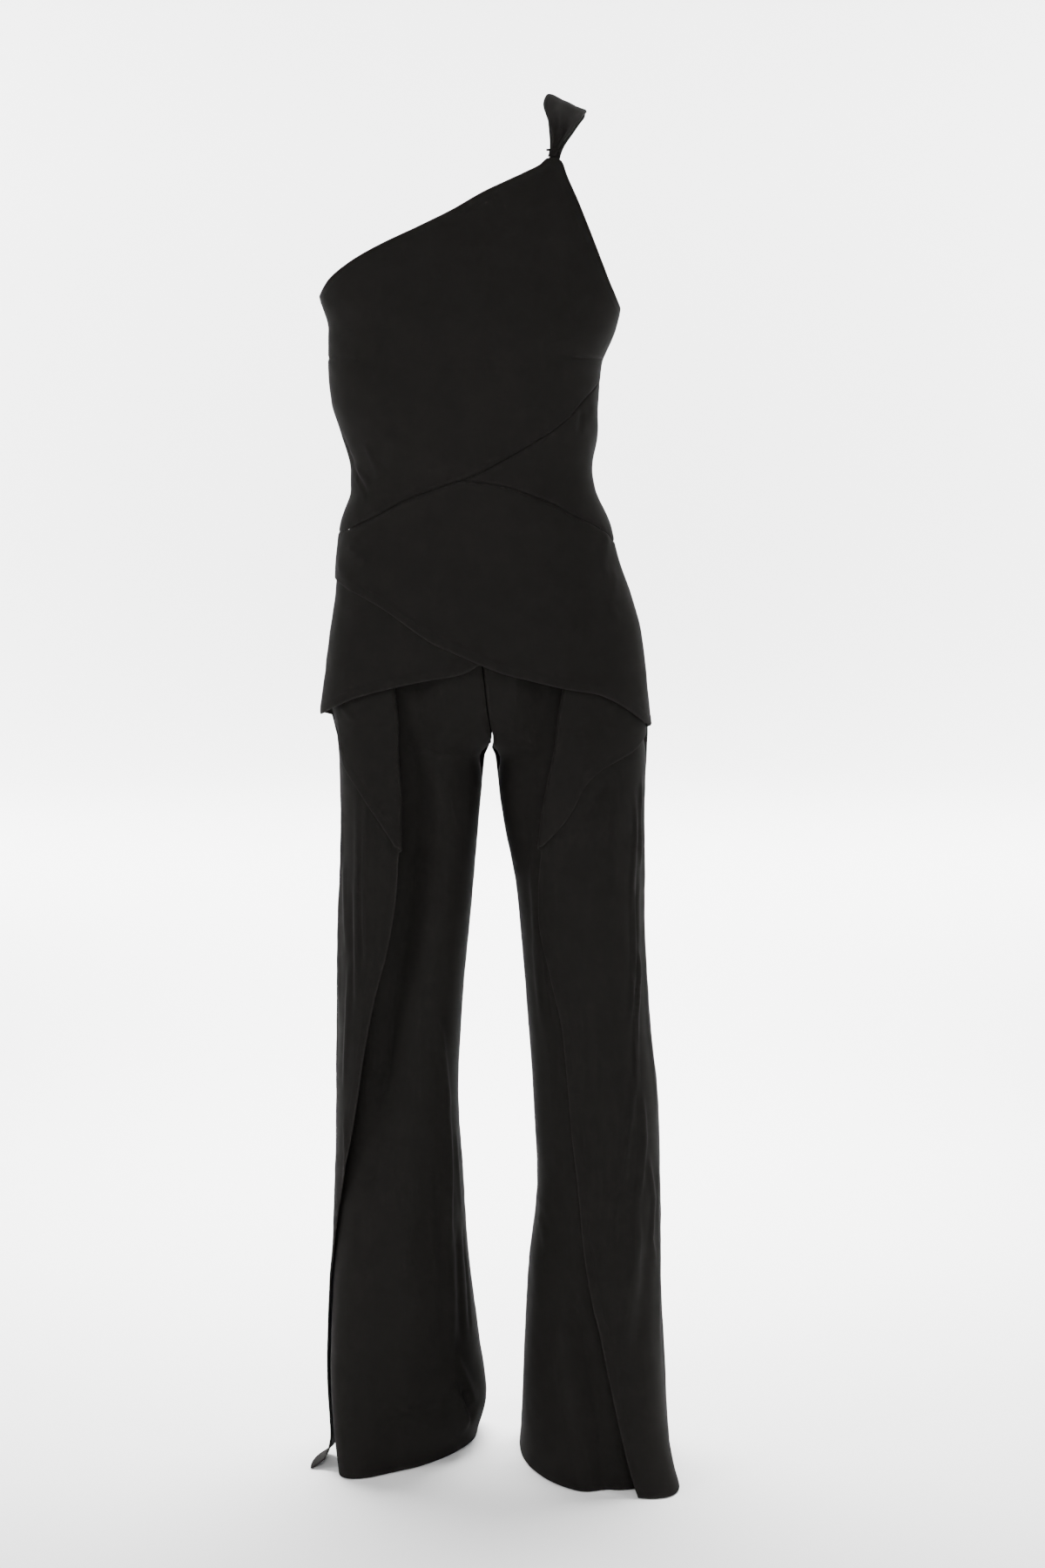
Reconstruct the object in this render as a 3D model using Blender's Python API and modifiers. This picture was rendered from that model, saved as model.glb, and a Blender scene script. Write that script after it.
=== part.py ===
"""One-shoulder crepe jumpsuit with a wrap overskirt, open and filled out as it is when worn.

Units are metres, +Z is up, the garment faces -Y and the wearer's left is +X. Every piece is
worked out from the floor under the middle of the body, and one empty then carries them all so
that the place where the strap lies on the shoulder is the origin.

A panel is a grid bent to a section of the body: an angle of 0 is the middle of the front, -90
and 90 are the sides and 180 is the middle of the back. The cloth gets its thickness from a
Solidify modifier. "Inset" is how far a layer lies inside the outermost face of the garment.
"""
import math
from bisect import bisect_right
from itertools import product

import bmesh
import bpy

# ---------------------------------------------------------------- driving sizes
WALL = 0.0012            # one layer of crepe with its turned edges
SEAM = 0.0003            # gap between two pieces at a seam
SQUARENESS = 0.88        # power of sine and cosine in a section: 1 is an ellipse
SHOULDER = (0.087, 0.0, 1.430)   # middle of the strap where it lies on the shoulder
SHOULDER_SLOPE = 0.45    # fall of the shoulder outwards, per metre
STRAP_WALL = 0.0016      # the strap is folded double
CROTCH_TOP = 0.86        # where the trunk starts to turn into two legs
CROTCH_LOW = 0.764       # where the legs part
FOLD_ANGLE = 86.0        # section angle of the overskirt's outer folds ...
FOLD_ROOM = 3.0          # ... and the least step of a column before them
UNDER_START = -89.0      # section angle of the under panel's plain end
HEM_CLEAR = 0.0006       # the trouser hems end this far above the floor
SIDE_EDGE = 89.965       # section angle of an edge at a side seam, half a seam short of 90
MIDDLE_EDGE = 0.025      # section angle of an edge at the middle seam of the back
COLUMN_GAP = 0.024       # widest steps between the columns of a bodice panel, across ...
ANGLE_GAP = 9.0          # ... and round the body, in degrees ...
ANGLE_LEAST = 2.0        # ... and the least step to a panel's edge
RIM_SHARE = 0.3          # a column close to an edge keeps the panel square to its seam
ROW_POWER = 1.3          # the trousers and the strap have their rows closer together at the top
TROUSER_ROWS = 20
STRAP_ROWS = 20
STRAP_COLUMNS = 11
BODICE_ROWS = 10
MIDRIFF_ROWS = 5
BACK_ROWS = 9
OVERSKIRT_ROWS = (0.0, 0.045, 0.10, 0.15, 0.185, 0.22, 0.27, 0.35, 0.45, 0.56, 0.68, 0.80, 0.90,
                  0.965, 1.0)    # shares of the height; close together where the hem kicks out
LEFT, RIGHT = 1, -1      # the wearer's left is +X

CREPE = ("crepe", (0.012, 0.011, 0.011, 1.0), 0.62, 0.0)
ZIP_CLOTH = ("zip_tape_cloth", (0.014, 0.014, 0.015, 1.0), 0.75, 0.0)
ZIP_METAL = ("zip_metal", (0.03, 0.03, 0.032, 1.0), 0.35, 0.9)


class Table:
    """Rows of named columns, read between the rows by a curve that never overshoots."""

    def __init__(self, names, *rows):
        self.names = names.split()
        self.rows = sorted(rows)
        self.keys = [row[0] for row in self.rows]

    def slope(self, column, index):
        """Monotone cubic slope of a column at one row."""
        rows = self.rows
        if index in (0, len(rows) - 1):
            near = 0 if index == 0 else index - 1
            return (rows[near + 1][column] - rows[near][column]) / (self.keys[near + 1] - self.keys[near])
        before = self.keys[index] - self.keys[index - 1]
        after = self.keys[index + 1] - self.keys[index]
        rise_before = (rows[index][column] - rows[index - 1][column]) / before
        rise_after = (rows[index + 1][column] - rows[index][column]) / after
        if rise_before * rise_after <= 0:
            return 0.0
        return 2.0 / (1.0 / rise_before + 1.0 / rise_after)

    def __call__(self, name, key):
        """Value of a named column at a key, held flat past the first and last row."""
        column = self.names.index(name)
        if key <= self.keys[0]:
            return self.rows[0][column]
        if key >= self.keys[-1]:
            return self.rows[-1][column]
        index = bisect_right(self.keys, key) - 1
        span = self.keys[index + 1] - self.keys[index]
        t = (key - self.keys[index]) / span
        start, end = self.rows[index][column], self.rows[index + 1][column]
        return (start * (1 + 2 * t) * (1 - t) ** 2 + end * t * t * (3 - 2 * t)
                + span * t * (1 - t) ** 2 * self.slope(column, index)
                - span * t * t * (1 - t) * self.slope(column, index + 1))


# ---------------------------------------------------------------- the garment's own form
# The outermost face of bodice and overskirt: the x of both sides and the depth to each face.
TRUNK = Table(
    "height left right front back",
    (1.385, -0.182, 0.160, 0.083, 0.088),
    (1.330, -0.175, 0.153, 0.096, 0.098),
    (1.280, -0.170, 0.147, 0.106, 0.103),
    (1.238, -0.166, 0.1415, 0.113, 0.103),
    (1.203, -0.157, 0.1345, 0.117, 0.100),
    (1.168, -0.1575, 0.121, 0.117, 0.095),
    (1.132, -0.155, 0.1175, 0.111, 0.089),
    (1.097, -0.145, 0.115, 0.102, 0.083),
    (1.061, -0.136, 0.1115, 0.094, 0.080),
    (1.043, -0.136, 0.1145, 0.092, 0.081),
    (1.007, -0.147, 0.130, 0.092, 0.087),
    (0.971, -0.152, 0.139, 0.095, 0.096),
    (0.935, -0.155, 0.152, 0.099, 0.106),
    (0.899, -0.1605, 0.162, 0.102, 0.115),
    (0.863, -0.1655, 0.167, 0.104, 0.121),
    (0.826, -0.1695, 0.171, 0.104, 0.121),
    (0.796, -0.1715, 0.1745, 0.102, 0.118))

# The outermost face of each leg, x counted outwards from the middle. "turn" brings the outer
# side forward and the inner side back, as the feet point outwards.
LEGS = {
    LEFT: Table(
        "height inner outer front back turn side",
        (0.764, 0.012, 0.171, 0.096, 0.110, 0.000, 90),
        (0.700, 0.020, 0.1665, 0.092, 0.098, 0.000, 90),
        (0.620, 0.035, 0.166, 0.088, 0.090, 0.000, 91),
        (0.500, 0.045, 0.172, 0.085, 0.082, 0.000, 92),
        (0.400, 0.052, 0.183, 0.086, 0.078, 0.000, 93),
        (0.310, 0.056, 0.186, 0.089, 0.078, 0.003, 94),
        (0.210, 0.047, 0.186, 0.095, 0.082, 0.010, 95),
        (0.115, 0.042, 0.191, 0.104, 0.088, 0.019, 96),
        (0.050, 0.040, 0.195, 0.112, 0.092, 0.026, 96),
        (0.000, 0.037, 0.199, 0.117, 0.094, 0.030, 96)),
    RIGHT: Table(
        "height inner outer front back turn side",
        (0.764, 0.000, 0.153, 0.096, 0.110, 0.000, 90),
        (0.700, 0.006, 0.149, 0.092, 0.098, 0.000, 90),
        (0.620, 0.013, 0.151, 0.088, 0.090, 0.000, 92),
        (0.500, 0.024, 0.154, 0.083, 0.082, 0.000, 95),
        (0.400, 0.0285, 0.156, 0.080, 0.078, 0.002, 99),
        (0.310, 0.024, 0.158, 0.077, 0.078, 0.009, 103),
        (0.210, 0.018, 0.161, 0.070, 0.082, 0.025, 107),
        (0.115, 0.008, 0.164, 0.062, 0.088, 0.041, 110),
        (0.050, 0.000, 0.161, 0.055, 0.092, 0.050, 112),
        (0.000, 0.012, 0.155, 0.050, 0.094, 0.055, 112))}

# The trousers' middle seams, front and back.
MIDDLE = Table(
    "height x",
    (1.060, -0.011), (0.950, -0.006), (0.880, -0.001), (0.830, 0.004), (0.790, 0.009), (0.764, 0.007))

# How far the trousers lie inside the outermost face: in the middle of the front, and under the
# folded layers of the overskirt.
TROUSER_INSET = {
    LEFT: Table(
        "height bare covered",
        (1.060, 0.0050, 0.0110), (0.990, 0.0055, 0.0115), (0.860, 0.0080, 0.0180),
        (0.800, 0.0068, 0.0190), (0.750, 0.0042, 0.0165), (0.700, 0.0018, 0.0135),
        (0.640, 0.0004, 0.0123), (0.580, 0.0000, 0.0120), (0.000, 0.0000, 0.0150)),
    RIGHT: Table(
        "height bare covered",
        (1.060, 0.0050, 0.0110), (0.990, 0.0055, 0.0115), (0.860, 0.0080, 0.0180),
        (0.800, 0.0068, 0.0190), (0.750, 0.0042, 0.0165), (0.700, 0.0018, 0.0130),
        (0.640, 0.0004, 0.0110), (0.580, 0.0000, 0.0102), (0.380, 0.0000, 0.0085),
        (0.280, 0.0000, 0.0010), (0.000, 0.0000, 0.0000))}

COVER_START = 0.058      # the front begins to go in this far before the folds ...
COVER_REACH = 0.038      # ... and has gone in after this much
INSEAM_EASE = 40.0       # degrees from the inseam to where a front may lie deep
# Beside the folded layers the right trouser front hangs back in one broad valley.
VALLEY = Table(
    "height angle depth",
    (0.810, 17.0, 0.000), (0.740, 8.0, 0.006), (0.660, 2.0, 0.016), (0.580, 4.0, 0.020),
    (0.480, 9.0, 0.020), (0.420, 14.0, 0.018), (0.370, 22.0, 0.015), (0.310, 34.0, 0.011),
    (0.240, 44.0, 0.006), (0.160, 50.0, 0.000))
VALLEY_SPREAD = 28.0     # degrees from its middle to where it has about a third of its depth
BACK_EASE = 40.0         # degrees from the side seam to where the back is full again
TROUSER_SHARES = (0.0, 0.03, 0.1, 0.2, 0.3, 0.4, 0.5, 0.6, 0.7, 0.8, 0.9, 0.97, 1.0)
TROUSER_EDGE = 0.0007    # half a seam, as a share of a trouser panel's width
TOP_LEVEL = 1.0          # the trousers' rows are level from just under the waist seam ...
TOP_REACH = 0.13         # ... and take up its slope over this height

# ---------------------------------------------------------------- edges and seams, x against height
NECKLINE = Table(
    "x height",
    (-0.166, 1.238), (-0.154, 1.255), (-0.132, 1.272), (-0.101, 1.289), (-0.064, 1.306),
    (-0.029, 1.323), (0.001, 1.340), (0.030, 1.3535), (0.044, 1.360), (0.057, 1.3665),
    (0.065, 1.373), (0.0725, 1.373), (0.079, 1.370), (0.0835, 1.358), (0.097, 1.327),
    (0.112, 1.290), (0.126, 1.255), (0.1395, 1.225))
BACK_NECKLINE = Table(
    "x height",
    (-0.166, 1.238), (-0.130, 1.262), (-0.080, 1.288), (-0.020, 1.318), (0.030, 1.341),
    (0.062, 1.3585), (0.077, 1.3585), (0.083, 1.349), (0.100, 1.315), (0.120, 1.268),
    (0.1395, 1.225))
BODICE_SEAM = Table(
    "x height",
    (-0.1485, 0.998), (-0.111, 1.0175), (-0.076, 1.037), (-0.044, 1.049), (-0.022, 1.0565),
    (-0.0115, 1.060), (0.018, 1.075), (0.053, 1.095), (0.084, 1.1155), (0.101, 1.134),
    (0.117, 1.150))
WRAP_SEAM = Table(
    "x height",
    (-0.022, 1.0565), (0.008, 1.053), (0.0315, 1.047), (0.0555, 1.038), (0.074, 1.030),
    (0.090, 1.020), (0.1115, 1.009), (0.1265, 0.9985), (0.1335, 0.989))
WAIST_START_X = -0.022   # where the wrap seam leaves the bodice's own seam
SEAM_REACH = 89.0        # the seam's height is read no further round the side than this ...
TROUSER_SEAM_REACH = 88.0   # ... and for the trousers' fronts than this, in degrees
MIDRIFF_START_X = -0.019
BACK_WAIST = Table("x height", (-0.1485, 0.998), (-0.01, 0.995), (0.1335, 0.989))

# The overskirt panels, each with x counted towards the side where it folds and falls.
# First layer: the slanting hem from the plain end to the outer fold.
FIRST_HEM = {
    LEFT: Table(
        "x height",
        (-0.153, 0.951), (-0.103, 0.927), (-0.071, 0.906), (-0.050, 0.8925), (-0.028, 0.883),
        (-0.003, 0.872), (0.020, 0.863), (0.050, 0.855), (0.087, 0.8455), (0.114, 0.840),
        (0.136, 0.829), (0.158, 0.812), (0.175, 0.796)),
    RIGHT: Table(
        "x height",
        (-0.150, 0.951), (-0.100, 0.927), (-0.050, 0.893), (0.003, 0.872), (0.018, 0.863),
        (0.058, 0.855), (0.0985, 0.845), (0.131, 0.834), (0.155, 0.821), (0.171, 0.809))}
# The inner fold between the second and third layer.
INNER_FOLD = {
    LEFT: Table(
        "height x",
        (1.000, 0.1165), (0.920, 0.104), (0.840, 0.087), (0.790, 0.076), (0.733, 0.0657),
        (0.681, 0.0604)),
    RIGHT: Table(
        "height x",
        (1.000, 0.128), (0.920, 0.112), (0.844, 0.098), (0.790, 0.090), (0.7265, 0.0856),
        (0.681, 0.0860))}
# Free edges: the second layer's hem from the outer to the inner fold ...
SECOND_HEM = {
    LEFT: Table(
        "height x",
        (0.796, 0.172), (0.787, 0.166), (0.779, 0.154), (0.772, 0.137), (0.762, 0.1175),
        (0.748, 0.104), (0.7166, 0.088), (0.681, 0.0604)),
    RIGHT: Table(
        "height x",
        (0.809, 0.168), (0.797, 0.154), (0.7634, 0.142), (0.744, 0.1276),
        (0.713, 0.1060), (0.681, 0.0860))}
# ... and the third layer's edge from the inner fold down to the floor: the section angle that
# it runs at and the share of the layer's width that has ended there.
THIRD_EDGE = {
    LEFT: Table(
        "height angle share",
        (0.681, -26.0, 0.00), (0.640, -37.5, 0.04), (0.600, -42.5, 0.09), (0.545, -34.5, 0.17),
        (0.480, -26.0, 0.27), (0.400, -25.0, 0.35), (0.300, -18.0, 0.45), (0.200, -2.0, 0.54),
        (0.100, 11.5, 0.62), (0.000, 25.0, 0.69)),
    RIGHT: Table(
        "height angle share",
        (0.681, 4.5, 0.00), (0.640, 4.7, 0.05), (0.580, 9.0, 0.14), (0.520, 19.5, 0.23),
        (0.460, 29.0, 0.31), (0.400, 38.0, 0.39), (0.340, 51.0, 0.48), (0.280, 67.0, 0.57),
        (0.210, 82.0, 0.65), (0.110, 90.0, 0.73), (0.035, 91.5, 0.78), (0.000, 92.0, 0.81))}
HEM_STEPS = {LEFT: (0.3, 0.6, 0.9, 1.0), RIGHT: (0.45, 0.9, 1.0)}
OUTER_FOLD_LOW = {LEFT: 0.796, RIGHT: 0.809}
INNER_FOLD_LOW = 0.681
FOLD_DROP = 0.003        # the hem slants across the round of a fold by twice this
# Insets of the three layers on the side where the panel falls.
LAYER_INSET = {
    LEFT: Table(
        "height first second third",
        (1.000, 0.0, 0.0024, 0.0048), (0.860, 0.0, 0.0055, 0.0115), (0.810, 0.0, 0.0055, 0.0110),
        (0.770, 0.0, -0.0015, 0.0035), (0.700, 0.0, -0.0060, -0.0005), (0.000, 0.0, -0.0060, 0.0000)),
    RIGHT: Table(
        "height first second third",
        (1.000, 0.0015, 0.0039, 0.0063), (0.930, 0.0022, 0.0060, 0.0105), (0.860, 0.0019, 0.0068, 0.0125),
        (0.810, 0.0000, 0.0055, 0.0110), (0.770, 0.0000, -0.0015, 0.0035),
        (0.700, 0.0000, -0.0060, -0.0005), (0.350, 0.0000, -0.0060, -0.0005),
        (0.270, 0.0000, -0.0060, -0.0020), (0.000, 0.0000, -0.0060, -0.0030))}
# Near the floor the third layer kicks out in one flute: how far, and where round the leg.
FLUTE = {
    LEFT: Table(
        "height out",
        (0.250, 0.000), (0.120, 0.002), (0.050, 0.008), (0.000, 0.023)),
    RIGHT: Table(
        "height out",
        (0.080, 0.000), (0.035, 0.002), (0.012, 0.012), (0.000, 0.030))}
FLUTE_ANGLE = {LEFT: 47.0, RIGHT: 96.0}
FLUTE_REACH = {LEFT: 40.0, RIGHT: 60.0}
# Under the other panel's folded layers the under panel goes in deeper.
UNDER_DEPTH = Table("height plain", (1.000, 0.0080), (0.860, 0.0145), (0.800, 0.0155))
DIVE_START = 20.0        # degrees before the folds where it begins to go in ...
DIVE_REACH = 14.0        # ... and degrees until it is in

# The strap from the bodice's front corner over the shoulder to its back corner.
STRAP = Table(
    "along x y z half_width gather",
    (0.00, 0.0688, -0.0785, 1.3745, 0.0042, 0.0002),
    (0.06, 0.0712, -0.0805, 1.3812, 0.0044, 0.0003),
    (0.11, 0.0742, -0.0800, 1.3880, 0.0052, 0.0006),
    (0.22, 0.0775, -0.0730, 1.4010, 0.0112, 0.0018),
    (0.34, 0.0790, -0.0540, 1.4170, 0.0185, 0.0020),
    (0.45, 0.0840, -0.0290, 1.4270, 0.0200, 0.0010),
    (0.56, 0.0870, 0.0000, 1.4300, 0.0165, 0.0002),
    (0.67, 0.0855, 0.0300, 1.4255, 0.0180, 0.0002),
    (0.79, 0.0805, 0.0590, 1.4100, 0.0140, 0.0014),
    (0.90, 0.0745, 0.0800, 1.3860, 0.0065, 0.0010),
    (1.00, 0.0697, 0.0840, 1.3593, 0.0048, 0.0003))
STRAP_WAVES = 2          # gathers across the strap
LOOP_ALONG = 0.055       # place of the little band round the strap's neck
LOOP_WIRE = 0.0011
LOOP_CLEAR = 0.0013
LOOP_POINTS = 16

# Concealed zip in the middle of the back.
ZIP_TOP = 1.305
ZIP_END = 0.885
ZIP_HALF_WIDTH = 0.012
ZIP_WALL = 0.0008
ZIP_CLEAR = 0.0016       # from the cloth's inside to the tape
ZIP_ROWS = 24
SLIDER_HEIGHT = 1.301    # middle of the slider, at the top of the tape
BACK_SAG = 0.0005        # the back's flat faces lie this far inside its curve there
SLIDER_WIDTH = 0.0056
SLIDER_LENGTH = 0.0086
SLIDER_BASE = 0.0012     # the slider's plate
BRIDGE_WIDTH = 0.0018    # the bridge that the pull hangs on ...
BRIDGE_WALL = 0.0008
BRIDGE_LENGTH = 0.0056   # ... along the zip ...
BRIDGE_ROOM = 0.0018     # ... and the room under it
PULL_WIDTH = 0.0056
PULL_WALL = 0.0009
PULL_EYE_WIDTH = 0.0028
PULL_EYE_LENGTH = 0.0034
PULL_OUTLINE = Table(
    "below width",
    (0.0000, 1.00), (0.0090, 1.00), (0.0150, 0.80), (0.0175, 0.45))


# ---------------------------------------------------------------- sections of the body
def ease(t):
    """Smooth step from 0 to 1."""
    t = min(1.0, max(0.0, t))
    return t * t * (3.0 - 2.0 * t)


def mix(start, end, t):
    """Straight blend of two numbers."""
    return start + (end - start) * t


def rounded(value):
    """Power that squares the sine and cosine of a section."""
    return math.copysign(abs(value) ** SQUARENESS, value)


def unrounded(value):
    """Sine or cosine that rounded() turns into this value."""
    value = max(-1.0, min(1.0, value))
    return math.copysign(abs(value) ** (1.0 / SQUARENESS), value)


def trunk_form(side, height):
    """Inner x, outer x, front, back and turn of the trunk, x counted towards one side."""
    left, right = TRUNK("left", height), TRUNK("right", height)
    inner, outer = (left, right) if side == LEFT else (-right, -left)
    return [inner, outer, TRUNK("front", height), TRUNK("back", height), 0.0]


def leg_form(side, height):
    """The same five sizes for a trunk that turns into a leg between hip and crotch."""
    trunk = trunk_form(side, max(height, TRUNK.keys[0]))
    leg = [LEGS[side](name, height) for name in ("inner", "outer", "front", "back", "turn")]
    share = ease((CROTCH_TOP - height) / (CROTCH_TOP - CROTCH_LOW))
    return [mix(a, b, share) for a, b in zip(trunk, leg)]


def section_point(form, side, angle, inset):
    """Plan point (x, y) on a section at an angle in degrees."""
    inner, outer, front, back, turn = form
    sine, cosine = math.sin(math.radians(angle)), math.cos(math.radians(angle))
    depth = front if cosine > 0 else back
    x = (inner + outer) / 2 + ((outer - inner) / 2 - inset) * rounded(sine)
    y = -(depth - inset) * rounded(cosine) - turn * sine
    return side * x, y


def section_angle(form, x, inset=0.0):
    """Angle in degrees on the front of a section at an x counted towards its side."""
    inner, outer = form[:2]
    return math.degrees(math.asin(unrounded((2 * x - inner - outer) / (outer - inner - 2 * inset))))


def trunk_point(angle, height, inset=0.0):
    """Point on the trunk, angles from -90 on the wearer's right to 90 on the left and on."""
    x, y = section_point(trunk_form(LEFT, height), LEFT, angle, inset)
    return x, y, height


def edge_height(edge, angle, start, side=LEFT):
    """Height where the column at an angle meets an edge that is given as x against height."""
    height = start
    for _ in range(30):
        x = side * section_point(trunk_form(side, height), side, angle, 0.0)[0]
        height = mix(height, edge("height", x), 0.7)
    return height


# ---------------------------------------------------------------- making the meshes
def material(finish):
    """Principled material of one finish, made once."""
    name, colour, roughness, metallic = finish
    made = bpy.data.materials.get(name)
    if made:
        return made
    made = bpy.data.materials.new(name)
    made.use_nodes = True
    shader = made.node_tree.nodes["Principled BSDF"]
    shader.inputs["Base Color"].default_value = colour
    shader.inputs["Roughness"].default_value = roughness
    shader.inputs["Metallic"].default_value = metallic
    made.diffuse_color = colour
    return made


def add_object(name, data, finish):
    """Object in the garment's collection, carried by the garment's empty."""
    made = bpy.data.objects.new(name, data)
    collection.objects.link(made)
    data.materials.append(material(finish))
    made.parent = garment
    return made


def even_rows(count):
    """Row shares from 0 at the top edge to 1 at the bottom edge, evenly spaced."""
    return [row / (count - 1) for row in range(count)]


def top_rows(count):
    """Row shares that stand closer together at the top edge."""
    return [share ** ROW_POWER for share in even_rows(count)]


def add_sheet(name, columns, downs, place, finish=CREPE, wall=WALL):
    """Cloth panel: a flat grid bent by place(column index, row share) and made solid."""
    sheet = bmesh.new()
    bmesh.ops.create_grid(sheet, x_segments=columns - 1, y_segments=len(downs) - 1, size=0.5)
    for vertex in sheet.verts:
        column = round((vertex.co.x + 0.5) * (columns - 1))
        row = round((0.5 - vertex.co.y) * (len(downs) - 1))
        vertex.co = place(column, downs[row])
    mesh = bpy.data.meshes.new(name)
    sheet.to_mesh(mesh)
    sheet.free()
    mesh.shade_smooth()
    made = add_object(name, mesh, finish)
    solid = made.modifiers.new("cloth", "SOLIDIFY")
    solid.thickness = wall
    solid.offset = 0.0
    return made


# ---------------------------------------------------------------- bodice
def spread(table, gap):
    """The x of every row of an edge table, with points added where rows stand further apart."""
    places = []
    for start, end in zip(table.keys, table.keys[1:]):
        steps = max(1, math.ceil((end - start) / gap))
        places += [mix(start, end, step / steps) for step in range(steps)]
    return places + [table.keys[-1]]


def edge_angles(edge, first, last, extra=()):
    """Section angles of the columns that meet the places of an edge, between two seams."""
    angles = []
    for x in sorted(spread(edge, COLUMN_GAP) + list(extra)):
        angle = section_angle(trunk_form(LEFT, edge("height", x)), x)
        if first < angle < last:
            angles.append(angle)
    inside = [angle for angle in angles if first + ANGLE_LEAST < angle < last - ANGLE_LEAST]
    angles = [first] + inside + [last]
    filled = []
    for start, end in zip(angles, angles[1:]):
        steps = math.ceil((end - start) / ANGLE_GAP)
        filled += [mix(start, end, step / steps) for step in range(steps)]
    filled.append(last)
    filled.insert(1, mix(filled[0], filled[1], RIM_SHARE))
    filled.insert(-1, mix(filled[-1], filled[-2], RIM_SHARE))
    return filled


def front_angles():
    """Columns that the front's panels share, so that their seams run side by side."""
    return edge_angles(NECKLINE, -SIDE_EDGE, SIDE_EDGE, (WAIST_START_X, MIDRIFF_START_X))


def front_bodice():
    """Front with its slanting neckline, straight armhole edge and waist seam."""
    angles = front_angles()
    upper = [edge_height(NECKLINE, angle, 1.28) for angle in angles]
    lower = [edge_height(BODICE_SEAM, angle, 1.06) + SEAM / 2 for angle in angles]

    def place(column, down):
        return trunk_point(angles[column], mix(upper[column], lower[column], down))

    add_sheet("bodice_front", len(angles), even_rows(BODICE_ROWS), place)


def midriff():
    """Wedge between the bodice's own seam and the wrap seam, from near the middle to the side."""
    angles = [angle for angle in front_angles() if trunk_point(angle, 1.056)[0] > MIDRIFF_START_X - 0.001]
    upper = [edge_height(BODICE_SEAM, angle, 1.08) - SEAM / 2 for angle in angles]
    lower = [edge_height(WRAP_SEAM, angle, 1.03) + SEAM / 2 for angle in angles]

    def place(column, down):
        return trunk_point(angles[column], mix(upper[column], lower[column], down))

    add_sheet("bodice_midriff", len(angles), even_rows(MIDRIFF_ROWS), place)


def back_angle(front_angle):
    """The angle on the back that has the same x as one on the front."""
    return 180.0 - front_angle


def back_bodice(name, first, last):
    """One half of the back, between the middle seam and the side seam."""
    angles = edge_angles(BACK_NECKLINE, first, last)
    upper = [edge_height(BACK_NECKLINE, angle, 1.28) for angle in angles]
    lower = [BACK_WAIST("height", trunk_point(angle, 0.995)[0]) + SEAM / 2 for angle in angles]

    def place(column, down):
        return trunk_point(back_angle(angles[column]), mix(upper[column], lower[column], down))

    add_sheet(name, len(angles), even_rows(BACK_ROWS), place)


# ---------------------------------------------------------------- overskirt
def waist_height(angle):
    """Height of the seam that holds the overskirt, at an angle on the front."""
    on_bodice = edge_height(BODICE_SEAM, angle, 1.04)
    if trunk_point(angle, on_bodice)[0] <= WAIST_START_X:
        return on_bodice
    return edge_height(WRAP_SEAM, angle, 1.03)


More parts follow.
